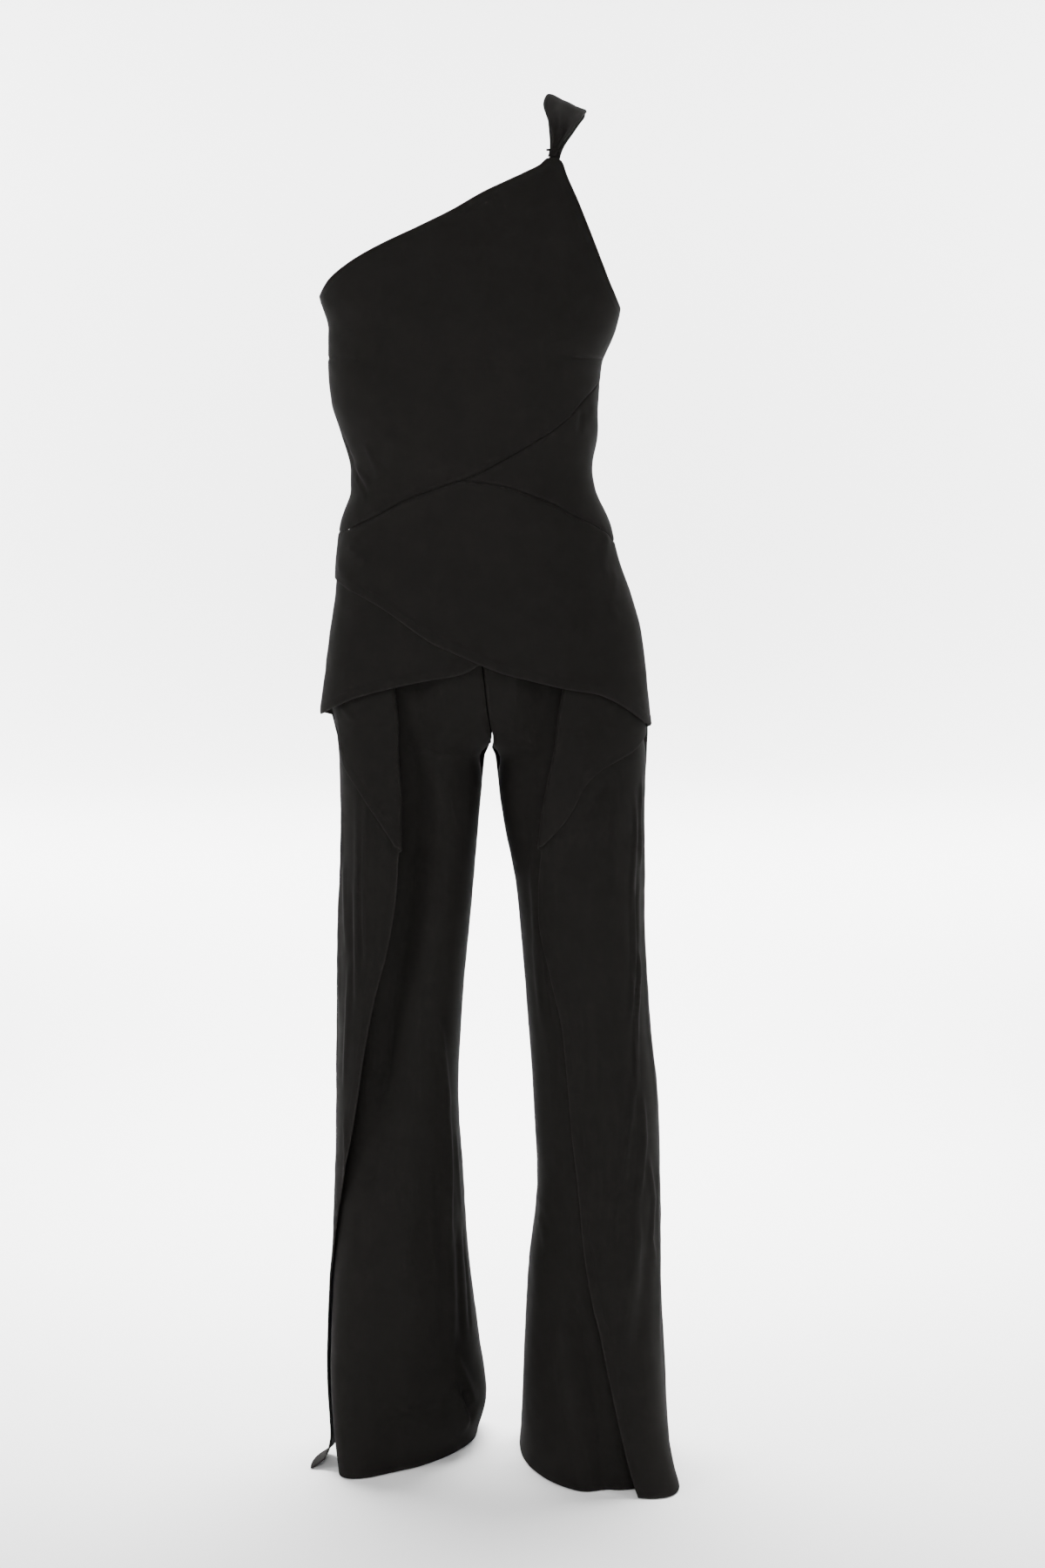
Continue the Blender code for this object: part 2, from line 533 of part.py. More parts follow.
class FallingPanel:
    """Overskirt panel in three layers: across the front, folded back in, and out to the side."""

    def __init__(self, side, plain_angle):
        self.side = side
        self.plain_angle = plain_angle
        self.columns = []

    def inset(self, layer, angle, height):
        """Inset of a layer; the plain end of the under panel dives beneath the other panel."""
        name = ("first", "second", "third")[layer - 1]
        value = LAYER_INSET[self.side](name, height)
        if self.side == RIGHT and layer == 1:
            other_fold = section_angle(trunk_form(LEFT, height), INNER_FOLD[LEFT]("x", height))
            deep = ease((-angle - other_fold + DIVE_START) / DIVE_REACH)
            value = mix(value, UNDER_DEPTH("plain", height), deep)
        if layer == 3:
            near = 1.0 - abs(angle - FLUTE_ANGLE[self.side]) / FLUTE_REACH[self.side]
            value -= FLUTE[self.side]("out", height) * ease(near)
        return value

    def inner_line(self, height):
        """Section angle of the inner fold, and under it of the line that the third layer fans from."""
        if height >= INNER_FOLD_LOW:
            return section_angle(leg_form(self.side, height), INNER_FOLD[self.side]("x", height))
        edge, ended = (THIRD_EDGE[self.side](name, height) for name in ("angle", "share"))
        return (edge - ended * LEGS[self.side]("side", height)) / (1.0 - ended)

    def guide(self, layer, share, height):
        """Section angle of a column of a layer at a height."""
        fold = self.inner_line(height)
        seam = LEGS[self.side]("side", height)
        start, end = ((self.plain_angle, FOLD_ANGLE), (FOLD_ANGLE, fold), (fold, seam))[layer - 1]
        return mix(start, end, share)

    def layer_point(self, layer, share, height):
        """Plan point of a layer at a share of its width."""
        angle = self.guide(layer, share, height)
        form = (trunk_form if layer == 1 else leg_form)(self.side, height)
        return section_point(form, self.side, angle, self.inset(layer, angle, height))

    def turn_point(self, layer, turned, height):
        """Plan point on the round fold between a layer and the next, turned from 0 to 1."""
        start = self.layer_point(layer, 1.0, height)
        end = self.layer_point(layer + 1, 0.0, height)
        middle = [(a + b) / 2 for a, b in zip(start, end)]
        out = [(a - b) / 2 for a, b in zip(start, end)]
        sense = self.side if layer == 1 else -self.side
        along = (-sense * out[1], sense * out[0])
        cosine, sine = math.cos(math.pi * turned), math.sin(math.pi * turned)
        return tuple(m + cosine * o + sine * a for m, o, a in zip(middle, out, along))

    def share_at(self, layer, x, height):
        """Share of a layer's width at an x."""
        form = (trunk_form if layer == 1 else leg_form)(self.side, height)
        start, end = self.guide(layer, 0.0, height), self.guide(layer, 1.0, height)
        return min(1.0, max(0.0, (section_angle(form, x) - start) / (end - start)))

    def lay_columns(self):
        """Every column as (layer, share, fold turn, lowest height), in order along the sheet."""
        side = self.side
        width = FOLD_ANGLE - self.plain_angle
        for angle in sorted(side * angle for angle in front_angles()):
            angle = max(angle, self.plain_angle)
            if angle < FOLD_ANGLE - FOLD_ROOM:
                low = edge_height(FIRST_HEM[side], angle, 0.88, side)
                self.columns.append((1, (angle - self.plain_angle) / width, None, low))
        edge = SECOND_HEM[side]
        low = OUTER_FOLD_LOW[side]
        self.columns.append((1, 1.0, None, low + FOLD_DROP))
        self.columns += [(1, None, turn, mix(low + FOLD_DROP, low - FOLD_DROP, turn))
                         for turn in (0.25, 0.5, 0.75)]
        self.columns.append((2, 0.0, None, low - FOLD_DROP))
        for height in reversed(edge.keys[1:-1]):
            self.columns.append((2, self.share_at(2, edge("x", height), height), None, height))
        self.columns.append((2, 1.0, None, INNER_FOLD_LOW + FOLD_DROP))
        self.columns += [(2, None, turn, mix(INNER_FOLD_LOW + FOLD_DROP, INNER_FOLD_LOW - FOLD_DROP, turn))
                         for turn in (0.25, 0.5, 0.75)]
        edge = THIRD_EDGE[side]
        self.columns.append((3, 0.0, None, INNER_FOLD_LOW - FOLD_DROP))
        for height in reversed(edge.keys[:-1]):
            self.columns.append((3, edge("share", height), None, max(height, HEM_CLEAR)))
        self.columns += [(3, mix(edge("share", 0.0), 1.0, step), None, HEM_CLEAR)
                         for step in HEM_STEPS[side]]

    def place(self, column, down):
        """Point of the sheet."""
        layer, share, turned, low = self.columns[column]
        near = share if share is not None else 1.0
        top = self.top_height(layer, near) - SEAM / 2
        height = mix(top, low, down)
        if turned is None:
            x, y = self.layer_point(layer, share, height)
        else:
            x, y = self.turn_point(layer, turned, height)
        return x, y, height

    def top_height(self, layer, share):
        """Height of the waist seam above a column."""
        angle = self.guide(layer, share, 1.0)
        return waist_height(min(SEAM_REACH, max(-SEAM_REACH, self.side * angle)))

    def build(self, name):
        """Add the panel."""
        self.lay_columns()
        add_sheet(name, len(self.columns), OVERSKIRT_ROWS, self.place)


# ---------------------------------------------------------------- trousers
def trouser_inset(side, x, height, behind):
    """Inset of the trousers at an x counted outwards: more under the overskirt's folds."""
    bare, covered = (TROUSER_INSET[side](name, height) for name in ("bare", "covered"))
    if behind:
        return covered
    if height > INNER_FOLD_LOW:
        edge = INNER_FOLD[side]("x", height)
    else:
        edge = side * section_point(leg_form(side, height), side, THIRD_EDGE[side]("angle", height), 0.0)[0]
    return mix(bare, covered, ease((x - edge + COVER_START) / COVER_REACH))


def trouser_point(side, angle, height):
    """Point on the trousers at a section angle of one leg."""
    form = leg_form(side, height)
    behind = angle > 90.0
    x = side * section_point(form, side, angle, 0.0)[0]
    inset = trouser_inset(side, x, height, behind)
    if behind:
        seam = LEGS[side]("side", height)
        inset *= 1.0 - ease((angle - seam) / BACK_EASE)
    else:
        bare = TROUSER_INSET[side]("bare", height)
        inset = mix(bare, inset, ease((angle + 90.0) / INSEAM_EASE))
        if side == RIGHT:
            away = (angle - VALLEY("angle", height)) / VALLEY_SPREAD
            inset += VALLEY("depth", height) * math.exp(-away * away)
    x, y = section_point(form, side, angle, inset)
    return x, y, height


def inner_angle(side, height, behind):
    """Section angle of a front's inner edge: the middle seam, then the inseam."""
    form = leg_form(side, height)
    inset = 0.0 if behind else TROUSER_INSET[side]("bare", height)
    middle = side * MIDDLE("x", height)
    angle = section_angle(form, middle, inset)
    clearance = SEAM / 2 + WALL / 2 * abs(math.sin(math.radians(angle)))
    return section_angle(form, middle + clearance, inset)


def trouser_panel(name, side, behind):
    """Front or back of one leg, from the waist seam to the hem."""
    def angle_at(column, height):
        share = mix(TROUSER_EDGE, 1.0 - TROUSER_EDGE, TROUSER_SHARES[column])
        inner = inner_angle(side, height, behind)
        seam = LEGS[side]("side", height)
        if behind:
            return mix(seam, 180.0 - inner, share)
        return mix(inner, seam, share)

    def top_at(column):
        angle = angle_at(column, TOP_LEVEL)
        if behind:
            return BACK_WAIST("height", trunk_point(side * angle, TOP_LEVEL)[0]) - SEAM
        return waist_height(side * min(angle, TROUSER_SEAM_REACH)) - SEAM

    def place(column, down):
        level = mix(TOP_LEVEL, HEM_CLEAR, down)
        slope = 1.0 - ease((TOP_LEVEL - level) / TOP_REACH)
        height = level + (top_at(column) - TOP_LEVEL) * slope
        return trouser_point(side, angle_at(column, height), height)

    add_sheet(name, len(TROUSER_SHARES), top_rows(TROUSER_ROWS), place)


# ---------------------------------------------------------------- strap
def strap_point(across, along):
    """Point of the strap, across from -1 at the neck side to 1 at the arm side."""
    half = STRAP("half_width", along)
    out = across * half
    lift = STRAP("gather", along) * math.cos(2 * math.pi * STRAP_WAVES * across / 2)
    step = 0.01
    rise = STRAP("z", along + step) - STRAP("z", along - step)
    run = STRAP("y", along + step) - STRAP("y", along - step)
    length = math.hypot(rise, run)
    up, back = run / length, -rise / length
    slope = SHOULDER_SLOPE * up
    return (STRAP("x", along) + out,
            STRAP("y", along) + lift * back,
            STRAP("z", along) + lift * up - out * slope)


def strap():
    """Broad over the shoulder, gathered to a narrow neck at the front corner."""
    def place(column, down):
        return strap_point(mix(-1.0, 1.0, column / (STRAP_COLUMNS - 1)), down)

    add_sheet("strap", STRAP_COLUMNS, top_rows(STRAP_ROWS), place, wall=STRAP_WALL)


def strap_loop():
    """Little band round the strap's neck."""
    centre = [STRAP(name, LOOP_ALONG) for name in ("x", "y", "z")]
    wide = STRAP("half_width", LOOP_ALONG) + LOOP_CLEAR + LOOP_WIRE
    deep = STRAP_WALL / 2 + LOOP_CLEAR + LOOP_WIRE
    curve = bpy.data.curves.new("strap_loop", "CURVE")
    curve.dimensions = "3D"
    ring = curve.splines.new("POLY")
    ring.points.add(LOOP_POINTS - 1)
    for index, point in enumerate(ring.points):
        turn = 2 * math.pi * index / LOOP_POINTS
        point.co = (centre[0] + wide * math.cos(turn), centre[1] - deep * math.sin(turn), centre[2], 1.0)
    ring.use_cyclic_u = True
    curve.bevel_depth = LOOP_WIRE
    curve.bevel_resolution = 2
    add_object("strap_loop", curve, CREPE)


# ---------------------------------------------------------------- zip
def zip_tape():
    """Tape of the concealed zip, inside the middle seam of the back."""
    inset = WALL + ZIP_CLEAR

    def place(column, down):
        height = mix(ZIP_TOP, ZIP_END, down)
        x, y, _ = trunk_point(180.0, height, inset)
        return x + mix(-ZIP_HALF_WIDTH, ZIP_HALF_WIDTH, column / 2), y, height

    add_sheet("zip_tape", 3, even_rows(ZIP_ROWS), place, finish=ZIP_CLOTH, wall=ZIP_WALL)


def block_mesh(name, grid, filled, place, finish):
    """Closed mesh of the filled cells of a grid of planes: a face between each cell and a gap."""
    cells = {cell for cell in product(*(range(len(planes) - 1) for planes in grid)) if filled(*cell)}
    blocks = bmesh.new()
    corners = {}

    def corner(index):
        if index not in corners:
            corners[index] = blocks.verts.new(place(*(planes[i] for planes, i in zip(grid, index))))
        return corners[index]

    for cell in sorted(cells):
        for axis, end in product(range(3), (0, 1)):
            beyond = list(cell)
            beyond[axis] += 2 * end - 1
            if tuple(beyond) in cells:
                continue
            loop = []
            for step in ((0, 0), (1, 0), (1, 1), (0, 1)):
                index = list(cell)
                index[axis] += end
                index[(axis + 1) % 3] += step[0]
                index[(axis + 2) % 3] += step[1]
                loop.append(corner(tuple(index)))
            blocks.faces.new(loop if end else loop[::-1])
    mesh = bpy.data.meshes.new(name)
    blocks.to_mesh(mesh)
    blocks.free()
    add_object(name, mesh, finish)


def zip_place(depth):
    """Function that sets a point across, out and up on the middle seam of the back."""
    x, y, z = trunk_point(180.0, SLIDER_HEIGHT, BACK_SAG - WALL / 2 - SEAM)
    half = SLIDER_LENGTH / 2
    rise = trunk_point(180.0, SLIDER_HEIGHT + half)[1] - trunk_point(180.0, SLIDER_HEIGHT - half)[1]
    lean = math.atan2(rise, SLIDER_LENGTH)

    def place(across, out, up):
        out += depth
        return (x + across,
                y + out * math.cos(lean) + up * math.sin(lean),
                z - out * math.sin(lean) + up * math.cos(lean))

    return place


def zip_slider():
    """Slider at the top of the zip, with a bridge along the zip."""
    side, arm = SLIDER_WIDTH / 2, BRIDGE_WIDTH / 2
    far, foot = SLIDER_LENGTH / 2, BRIDGE_LENGTH / 2
    under = SLIDER_BASE + BRIDGE_ROOM
    grid = ((-side, -arm, arm, side),
            (0.0, SLIDER_BASE, under, under + BRIDGE_WALL),
            (-far, -foot, BRIDGE_WALL - foot, foot - BRIDGE_WALL, foot, far))

    def filled(across, out, up):
        if out == 0:
            return True
        return across == 1 and (up in (1, 3) if out == 1 else up in (1, 2, 3))

    block_mesh("zip_slider", grid, filled, zip_place(0.0), ZIP_METAL)


def zip_pull():
    """Pull tab with an eye; the bar above the eye lies under the slider's bridge."""
    side, eye = PULL_WIDTH / 2, PULL_EYE_WIDTH / 2
    half = PULL_WALL / 2
    set_point = zip_place(SLIDER_BASE + BRIDGE_ROOM / 2)
    below = [half + PULL_EYE_LENGTH] + [half + low for low in PULL_OUTLINE.keys[1:]]
    grid = ((-side, -eye, eye, side), (-half, half), [-low for low in reversed(below)] + [-half, half])

    def place(across, out, up):
        return set_point(across * PULL_OUTLINE("width", -half - up), out, up)

    def filled(across, _, up):
        return up != len(below) - 1 or across != 1

    block_mesh("zip_pull", grid, filled, place, ZIP_METAL)


# ---------------------------------------------------------------- the garment
for old in list(bpy.data.objects):
    bpy.data.objects.remove(old, do_unlink=True)
collection = bpy.data.collections.new("jumpsuit")
bpy.context.scene.collection.children.link(collection)
garment = bpy.data.objects.new("garment", None)
collection.objects.link(garment)
garment.location = (-SHOULDER[0], -SHOULDER[1], STRAP_WALL / 2 - SHOULDER[2])

front_bodice()
midriff()
back_bodice("bodice_back_left", MIDDLE_EDGE, SIDE_EDGE)
back_bodice("bodice_back_right", -SIDE_EDGE, -MIDDLE_EDGE)
strap()
strap_loop()
FallingPanel(LEFT, -SIDE_EDGE).build("overskirt_over")
FallingPanel(RIGHT, UNDER_START).build("overskirt_under")
trouser_panel("trouser_front_left", LEFT, False)
trouser_panel("trouser_front_right", RIGHT, False)
trouser_panel("trouser_back_left", LEFT, True)
trouser_panel("trouser_back_right", RIGHT, True)
zip_tape()
zip_slider()
zip_pull()
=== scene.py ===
"""Looks of a one-shoulder crepe jumpsuit with a wrap overskirt, filled out as it is when worn.

Sizes are metres. A panel is worked out from the floor under the middle of the body and set into
the row frame last. An angle of 0 is the middle of the front, 90 is a side seam and 180 is the
middle of the back, counted towards the side that the panel belongs to. "Inset" is how far a
layer lies inside the outermost face of the garment. Tables and crease rows are in millimetres,
degrees and shares.
"""
import logging
import math
from dataclasses import dataclass, field
from enum import Enum, IntEnum

import bmesh
import bpy
import numpy as np
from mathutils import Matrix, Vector


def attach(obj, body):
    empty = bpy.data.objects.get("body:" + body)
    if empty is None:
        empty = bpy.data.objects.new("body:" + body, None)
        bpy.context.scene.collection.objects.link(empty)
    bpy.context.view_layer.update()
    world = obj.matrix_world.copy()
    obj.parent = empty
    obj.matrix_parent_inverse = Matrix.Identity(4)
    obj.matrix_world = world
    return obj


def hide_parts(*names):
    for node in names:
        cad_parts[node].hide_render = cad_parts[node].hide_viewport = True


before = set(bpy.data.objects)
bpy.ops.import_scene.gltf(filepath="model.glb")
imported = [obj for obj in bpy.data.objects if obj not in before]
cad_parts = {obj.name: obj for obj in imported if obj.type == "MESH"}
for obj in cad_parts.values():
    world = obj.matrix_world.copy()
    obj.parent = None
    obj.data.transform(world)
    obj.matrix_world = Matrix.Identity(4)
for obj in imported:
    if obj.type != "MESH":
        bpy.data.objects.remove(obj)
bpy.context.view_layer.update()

Array = np.ndarray
Triple = tuple[float, float, float]
log = logging.getLogger("jumpsuit")

# ---------------------------------------------------------------- sizes of the garment
WALL = 0.0012                    # one layer of crepe with its turned edges
SEAM = 0.0003                    # gap between two pieces at a seam
SQUARENESS = 0.88                # power of sine and cosine in a section: 1 is an ellipse
SHOULDER = (0.087, 0.0, 1.430)   # middle of the strap where it lies on the shoulder
SHOULDER_SLOPE = 0.45            # fall of the shoulder outwards, per metre
STRAP_WALL = 0.0016              # the strap is folded double
ORIGIN = np.array((SHOULDER[0], SHOULDER[1], SHOULDER[2] - STRAP_WALL / 2))
CROTCH_TOP = 0.86                # where the trunk starts to turn into two legs
CROTCH_LOW = 0.764               # where the legs part
FOLD_ANGLE = 86.0                # section angle of the overskirt's outer folds
HEM_CLEAR = 0.0006               # the trouser hems end this far above the floor
SIDE_EDGE = 89.965               # section angle of an edge at a side seam
MIDDLE_EDGE = 0.025              # section angle of an edge at the middle seam of the back
GARMENT = "garment"


class Side(IntEnum):
    """Side of the wearer: the left is +X."""

    LEFT = 1
    RIGHT = -1


LEFT, RIGHT = Side.LEFT, Side.RIGHT
NOT_LENGTHS = ("angle", "share", "side", "along")     # columns of degrees and shares


class Table:
    """Rows of named columns, read between the rows by a curve that never overshoots.

    Lengths are written in millimetres and read in metres.
    """

    def __init__(self, names: str, *rows: tuple[float, ...]) -> None:
        """Keep the rows and work out a monotone cubic slope at each.

        Args:
            names: Column names, the key first.
            rows: One tuple of numbers for each row.
        """
        self.names = names.split()
        units = [1.0 if name in NOT_LENGTHS else 0.001 for name in self.names]
        self.rows = np.array(sorted(rows), float) * units
        self.keys = self.rows[:, 0]
        rise = np.diff(self.rows, axis=0) / np.diff(self.keys)[:, None]
        product, total = rise[:-1] * rise[1:], rise[:-1] + rise[1:]
        inner = np.where(product > 0, 2 * product / np.where(product > 0, total, 1.0), 0.0)
        self.slopes = np.vstack((rise[:1], inner, rise[-1:]))

    def __call__(self, name: str, key: Array | float) -> Array:
        """Read a column.

        Args:
            name: The column's name.
            key: Keys to read it at, held flat past the first and last row.

        Returns:
            The column's values at the keys.
        """
        column = self.names.index(name)
        key = np.clip(key, self.keys[0], self.keys[-1])
        low = np.clip(np.searchsorted(self.keys, key, side="right") - 1, 0, len(self.keys) - 2)
        span = self.keys[low + 1] - self.keys[low]
        t = (key - self.keys[low]) / span
        start, end = self.rows[low, column], self.rows[low + 1, column]
        return (start * (1 + 2 * t) * (1 - t) ** 2 + end * t * t * (3 - 2 * t)
                + span * t * (1 - t) ** 2 * self.slopes[low, column]
                - span * t * t * (1 - t) * self.slopes[low + 1, column])


def both_sides(names: str, left: tuple, right: tuple) -> dict[Side, Table]:
    """Table for each side of the wearer."""
    return {LEFT: Table(names, *left), RIGHT: Table(names, *right)}


# The outermost face of bodice and overskirt: the x of both sides and the depth to each face.
TRUNK = Table(
    "height left right front back",
    (1385, -182, 160, 83, 88), (1330, -175, 153, 96, 98), (1280, -170, 147, 106, 103),
    (1238, -166, 141.5, 113, 103), (1203, -157, 134.5, 117, 100), (1168, -157.5, 121, 117, 95),
    (1132, -155, 117.5, 111, 89), (1097, -145, 115, 102, 83), (1061, -136, 111.5, 94, 80),
    (1043, -136, 114.5, 92, 81), (1007, -147, 130, 92, 87), (971, -152, 139, 95, 96),
    (935, -155, 152, 99, 106), (899, -160.5, 162, 102, 115), (863, -165.5, 167, 104, 121),
    (826, -169.5, 171, 104, 121), (796, -171.5, 174.5, 102, 118))

# The outermost face of each leg, x counted outwards from the middle. "turn" brings the outer
# side forward and the inner side back, as the feet point outwards.
LEGS = both_sides(
    "height inner outer front back turn side",
    ((764, 12, 171, 96, 110, 0, 90), (700, 20, 166.5, 92, 98, 0, 90), (620, 35, 166, 88, 90, 0, 91),
    (500, 45, 172, 85, 82, 0, 92), (400, 52, 183, 86, 78, 0, 93), (310, 56, 186, 89, 78, 3, 94),
    (210, 47, 186, 95, 82, 10, 95), (115, 42, 191, 104, 88, 19, 96), (50, 40, 195, 112, 92, 26, 96),
    (0, 37, 199, 117, 94, 30, 96)),
    ((764, 0, 153, 96, 110, 0, 90), (700, 6, 149, 92, 98, 0, 90), (620, 13, 151, 88, 90, 0, 92),
    (500, 24, 154, 83, 82, 0, 95), (400, 28.5, 156, 80, 78, 2, 99), (310, 24, 158, 77, 78, 9, 103),
    (210, 18, 161, 70, 82, 25, 107), (115, 8, 164, 62, 88, 41, 110), (50, 0, 161, 55, 92, 50, 112),
    (0, 12, 155, 50, 94, 55, 112)))

# The trousers' middle seams, front and back.
MIDDLE = Table("height x", (1060, -11), (950, -6), (880, -1), (830, 4), (790, 9), (764, 7))

# How far the trousers lie inside the outermost face: in the middle of the front, and under the
# folded layers of the overskirt.
TROUSER_INSET = both_sides(
    "height bare covered",
    ((1060, 5, 11), (990, 5.5, 11.5), (860, 8, 18), (800, 6.8, 19), (750, 4.2, 16.5), (700, 1.8, 13.5),
    (640, 0.4, 12.3), (580, 0, 12), (0, 0, 15)),
    ((1060, 5, 11), (990, 5.5, 11.5), (860, 8, 18), (800, 6.8, 19), (750, 4.2, 16.5), (700, 1.8, 13),
    (640, 0.4, 11), (580, 0, 10.2), (380, 0, 8.5), (280, 0, 1), (0, 0, 0)))
COVER_START = 0.058      # the front begins to go in this far before the folds ...
COVER_REACH = 0.038      # ... and has gone in after this much
INSEAM_EASE = 40.0       # degrees from the inseam to where a front may lie deep
PARTING = 0.03           # height below the crotch over which the inseams close up
# Beside the folded layers the right trouser front hangs back in one broad valley.
VALLEY = Table(
    "height angle depth",
    (810, 17, 0), (740, 8, 6), (660, 2, 16), (580, 4, 20), (480, 9, 20), (420, 14, 18), (370, 22, 15),
    (310, 34, 11), (240, 44, 6), (160, 50, 0))
VALLEY_SPREAD = 28.0     # degrees from its middle to where it has about a third of its depth
BACK_EASE = 7.0          # degrees from the side seam to where the back is full again
TROUSER_EDGE = 0.0007    # half a seam, as a share of a trouser panel's width
TROUSER_WIDTH = 0.20     # about the width of a trouser panel on the leg
TUCK = 0.007             # the fronts run up this far behind the waist seam
TOP_LEVEL = 1.0          # the trousers' rows are level from just under the waist seam ...
TOP_REACH = 0.13         # ... and take up its slope over this height

# Edges and seams, x against height.
NECKLINE = Table(
    "x height",
    (-166, 1238), (-154, 1255), (-132, 1272), (-101, 1289), (-64, 1306), (-29, 1323), (1, 1340),
    (30, 1353.5), (44, 1360), (57, 1366.5), (65, 1373), (72.5, 1373), (79, 1370), (83.5, 1358),
    (97, 1327), (112, 1290), (126, 1255), (139.5, 1225))
BACK_NECKLINE = Table(
    "x height",
    (-166, 1238), (-130, 1262), (-80, 1288), (-20, 1318), (30, 1341), (62, 1358.5), (77, 1358.5),
    (83, 1349), (100, 1315), (120, 1268), (139.5, 1225))
BODICE_SEAM = Table(
    "x height",
    (-148.5, 998), (-111, 1017.5), (-76, 1037), (-44, 1049), (-22, 1056.5), (-11.5, 1060), (18, 1075),
    (53, 1095), (84, 1115.5), (101, 1134), (117, 1150))
WRAP_SEAM = Table(
    "x height",
    (-22, 1056.5), (8, 1053), (31.5, 1047), (55.5, 1038), (74, 1030), (90, 1020), (111.5, 1009),
    (126.5, 998.5), (133.5, 989))
WAIST_START_X = -0.022   # where the wrap seam leaves the bodice's own seam
MIDRIFF_START_X, MIDRIFF_START_LEVEL = -0.019, 1.056
BACK_WAIST_LEVEL = 0.995
BACK_WAIST = Table("x height", (-148.5, 998), (-10, 995), (133.5, 989))

# The overskirt panels, each with x counted towards the side where it folds and falls.
# First layer: the slanting hem from the plain end to the outer fold.
FIRST_HEM = both_sides(
    "x height",
    ((-153, 951), (-103, 927), (-71, 906), (-50, 892.5), (-28, 883), (-3, 872), (20, 863), (50, 855),
    (87, 845.5), (114, 840), (136, 829), (158, 812), (175, 796)),
    ((-150, 951), (-100, 927), (-50, 893), (3, 872), (18, 863), (58, 855), (98.5, 845), (131, 834),
    (155, 821), (171, 809)))
# The inner fold between the second and third layer.
INNER_FOLD = both_sides(
    "height x",
    ((1000, 116.5), (920, 104), (840, 87), (790, 76), (733, 65.7), (681, 60.4)),
    ((1000, 128), (920, 112), (844, 98), (790, 90), (726.5, 85.6), (681, 86)))
# Free edges: the second layer's hem from the outer to the inner fold ...
SECOND_HEM = both_sides(
    "height x",
    ((796, 172), (787, 166), (779, 154), (772, 137), (762, 117.5), (748, 104), (716.6, 88), (681, 60.4)),
    ((809, 168), (797, 154), (763.4, 142), (744, 127.6), (713, 106), (681, 86)))
# ... and the third layer's edge from the inner fold down to the floor: the section angle that
# it runs at and the share of the layer's width that has ended there.
THIRD_EDGE = both_sides(
    "height angle share",
    ((681, -26, 0), (640, -37.5, 0.04), (600, -42.5, 0.09), (545, -34.5, 0.17), (480, -26, 0.27),
    (400, -25, 0.35), (300, -18, 0.45), (200, -2, 0.54), (100, 11.5, 0.62), (0, 25, 0.69)),
    ((681, 4.5, 0), (640, 4.7, 0.05), (580, 9, 0.14), (520, 19.5, 0.23), (460, 29, 0.31), (400, 38, 0.39),
    (340, 51, 0.48), (280, 67, 0.57), (210, 82, 0.65), (110, 90, 0.73), (35, 91.5, 0.78), (0, 92, 0.81)))
OUTER_FOLD_LOW = {LEFT: 0.796, RIGHT: 0.809}
INNER_FOLD_LOW = 0.681
FOLD_DROP = 0.003        # the hem slants across the round of a fold by twice this
# Insets of the three layers on the side where the panel falls.
LAYER_INSET = both_sides(
    "height first second third",
    ((1000, 0, 2.4, 4.8), (860, 0, 5.5, 11.5), (810, 0, 5.5, 11), (770, 0, -1.5, 3.5), (700, 0, -6, -0.5),
    (0, 0, -6, 0)),
    ((1000, 1.5, 3.9, 6.3), (930, 2.2, 6, 10.5), (860, 1.9, 6.8, 12.5), (810, 0, 5.5, 11),
    (770, 0, -1.5, 3.5), (700, 0, -6, -0.5), (350, 0, -6, -0.5), (270, 0, -6, -2), (0, 0, -6, -3)))
# Near the floor the third layer kicks out in one flute: how far, and where round the leg.
FLUTE = both_sides(
    "height out",
    ((250, 0), (120, 2), (50, 8), (0, 23)),
    ((80, 0), (35, 2), (12, 12), (0, 30)))
FLUTE_ANGLE, FLUTE_REACH = {LEFT: 47.0, RIGHT: 96.0}, {LEFT: 40.0, RIGHT: 60.0}
# The third layer's free edge curls in towards the leg: by how much, and over how many degrees.
CURL = both_sides(
    "height depth",
    ((690, 0), (640, 2), (300, 2.4), (180, 1.2), (0, 0)),
    ((690, 0), (600, 1), (0, 0)))
CURL_REACH = 20.0
# A front comes up against the left layer's free edge, from under the inner fold to the calf.
HUG, HUG_REACH = 0.40, (0.010, 0.026)
HUG_START, HUG_LOW, HUG_END = 0.04, 0.16, 0.1
# Under the other panel's folded layers the under panel goes in deeper.
UNDER_DEPTH = Table("height plain", (1000, 8), (860, 14.5), (800, 15.5))
DIVE_START = 20.0        # degrees before the folds where it begins to go in ...
DIVE_REACH = 14.0        # ... and degrees until it is in

# The strap from the bodice's front corner over the shoulder to its back corner.
STRAP = Table(
    "along x y z half_width gather",
    (0, 68.8, -78.5, 1374.5, 4.2, 0.2), (0.06, 71.2, -80.5, 1381.2, 4.4, 0.3),
    (0.11, 74.2, -80, 1388, 5.2, 0.4), (0.22, 77.5, -73, 1401, 11.2, 1.8), (0.34, 79, -54, 1417, 18.5, 2),
    (0.45, 84, -29, 1427, 20, 1), (0.56, 87, 0, 1430, 16.5, 0.2), (0.67, 85.5, 30, 1425.5, 18, 0.2),
    (0.79, 80.5, 59, 1410, 14, 1.4), (0.9, 74.5, 80, 1386, 6.5, 1), (1, 69.7, 84, 1359.3, 4.8, 0.3))


# ---------------------------------------------------------------- sections of the body
PROBE = 1.5                      # degrees to both sides between which a direction is read
EDGE_ROUNDS, EDGE_STEP = 30, 0.7     # how often an edge's height is mended, and by what share
NECK_LEVEL, WAIST_LEVEL, HEM_LEVEL = 1.28, 1.04, 0.88      # heights that the mending starts from


def ease(t: Array | float) -> Array:
    """Smooth step from 0 to 1."""
    t = np.clip(t, 0.0, 1.0)
    return t * t * (3.0 - 2.0 * t)


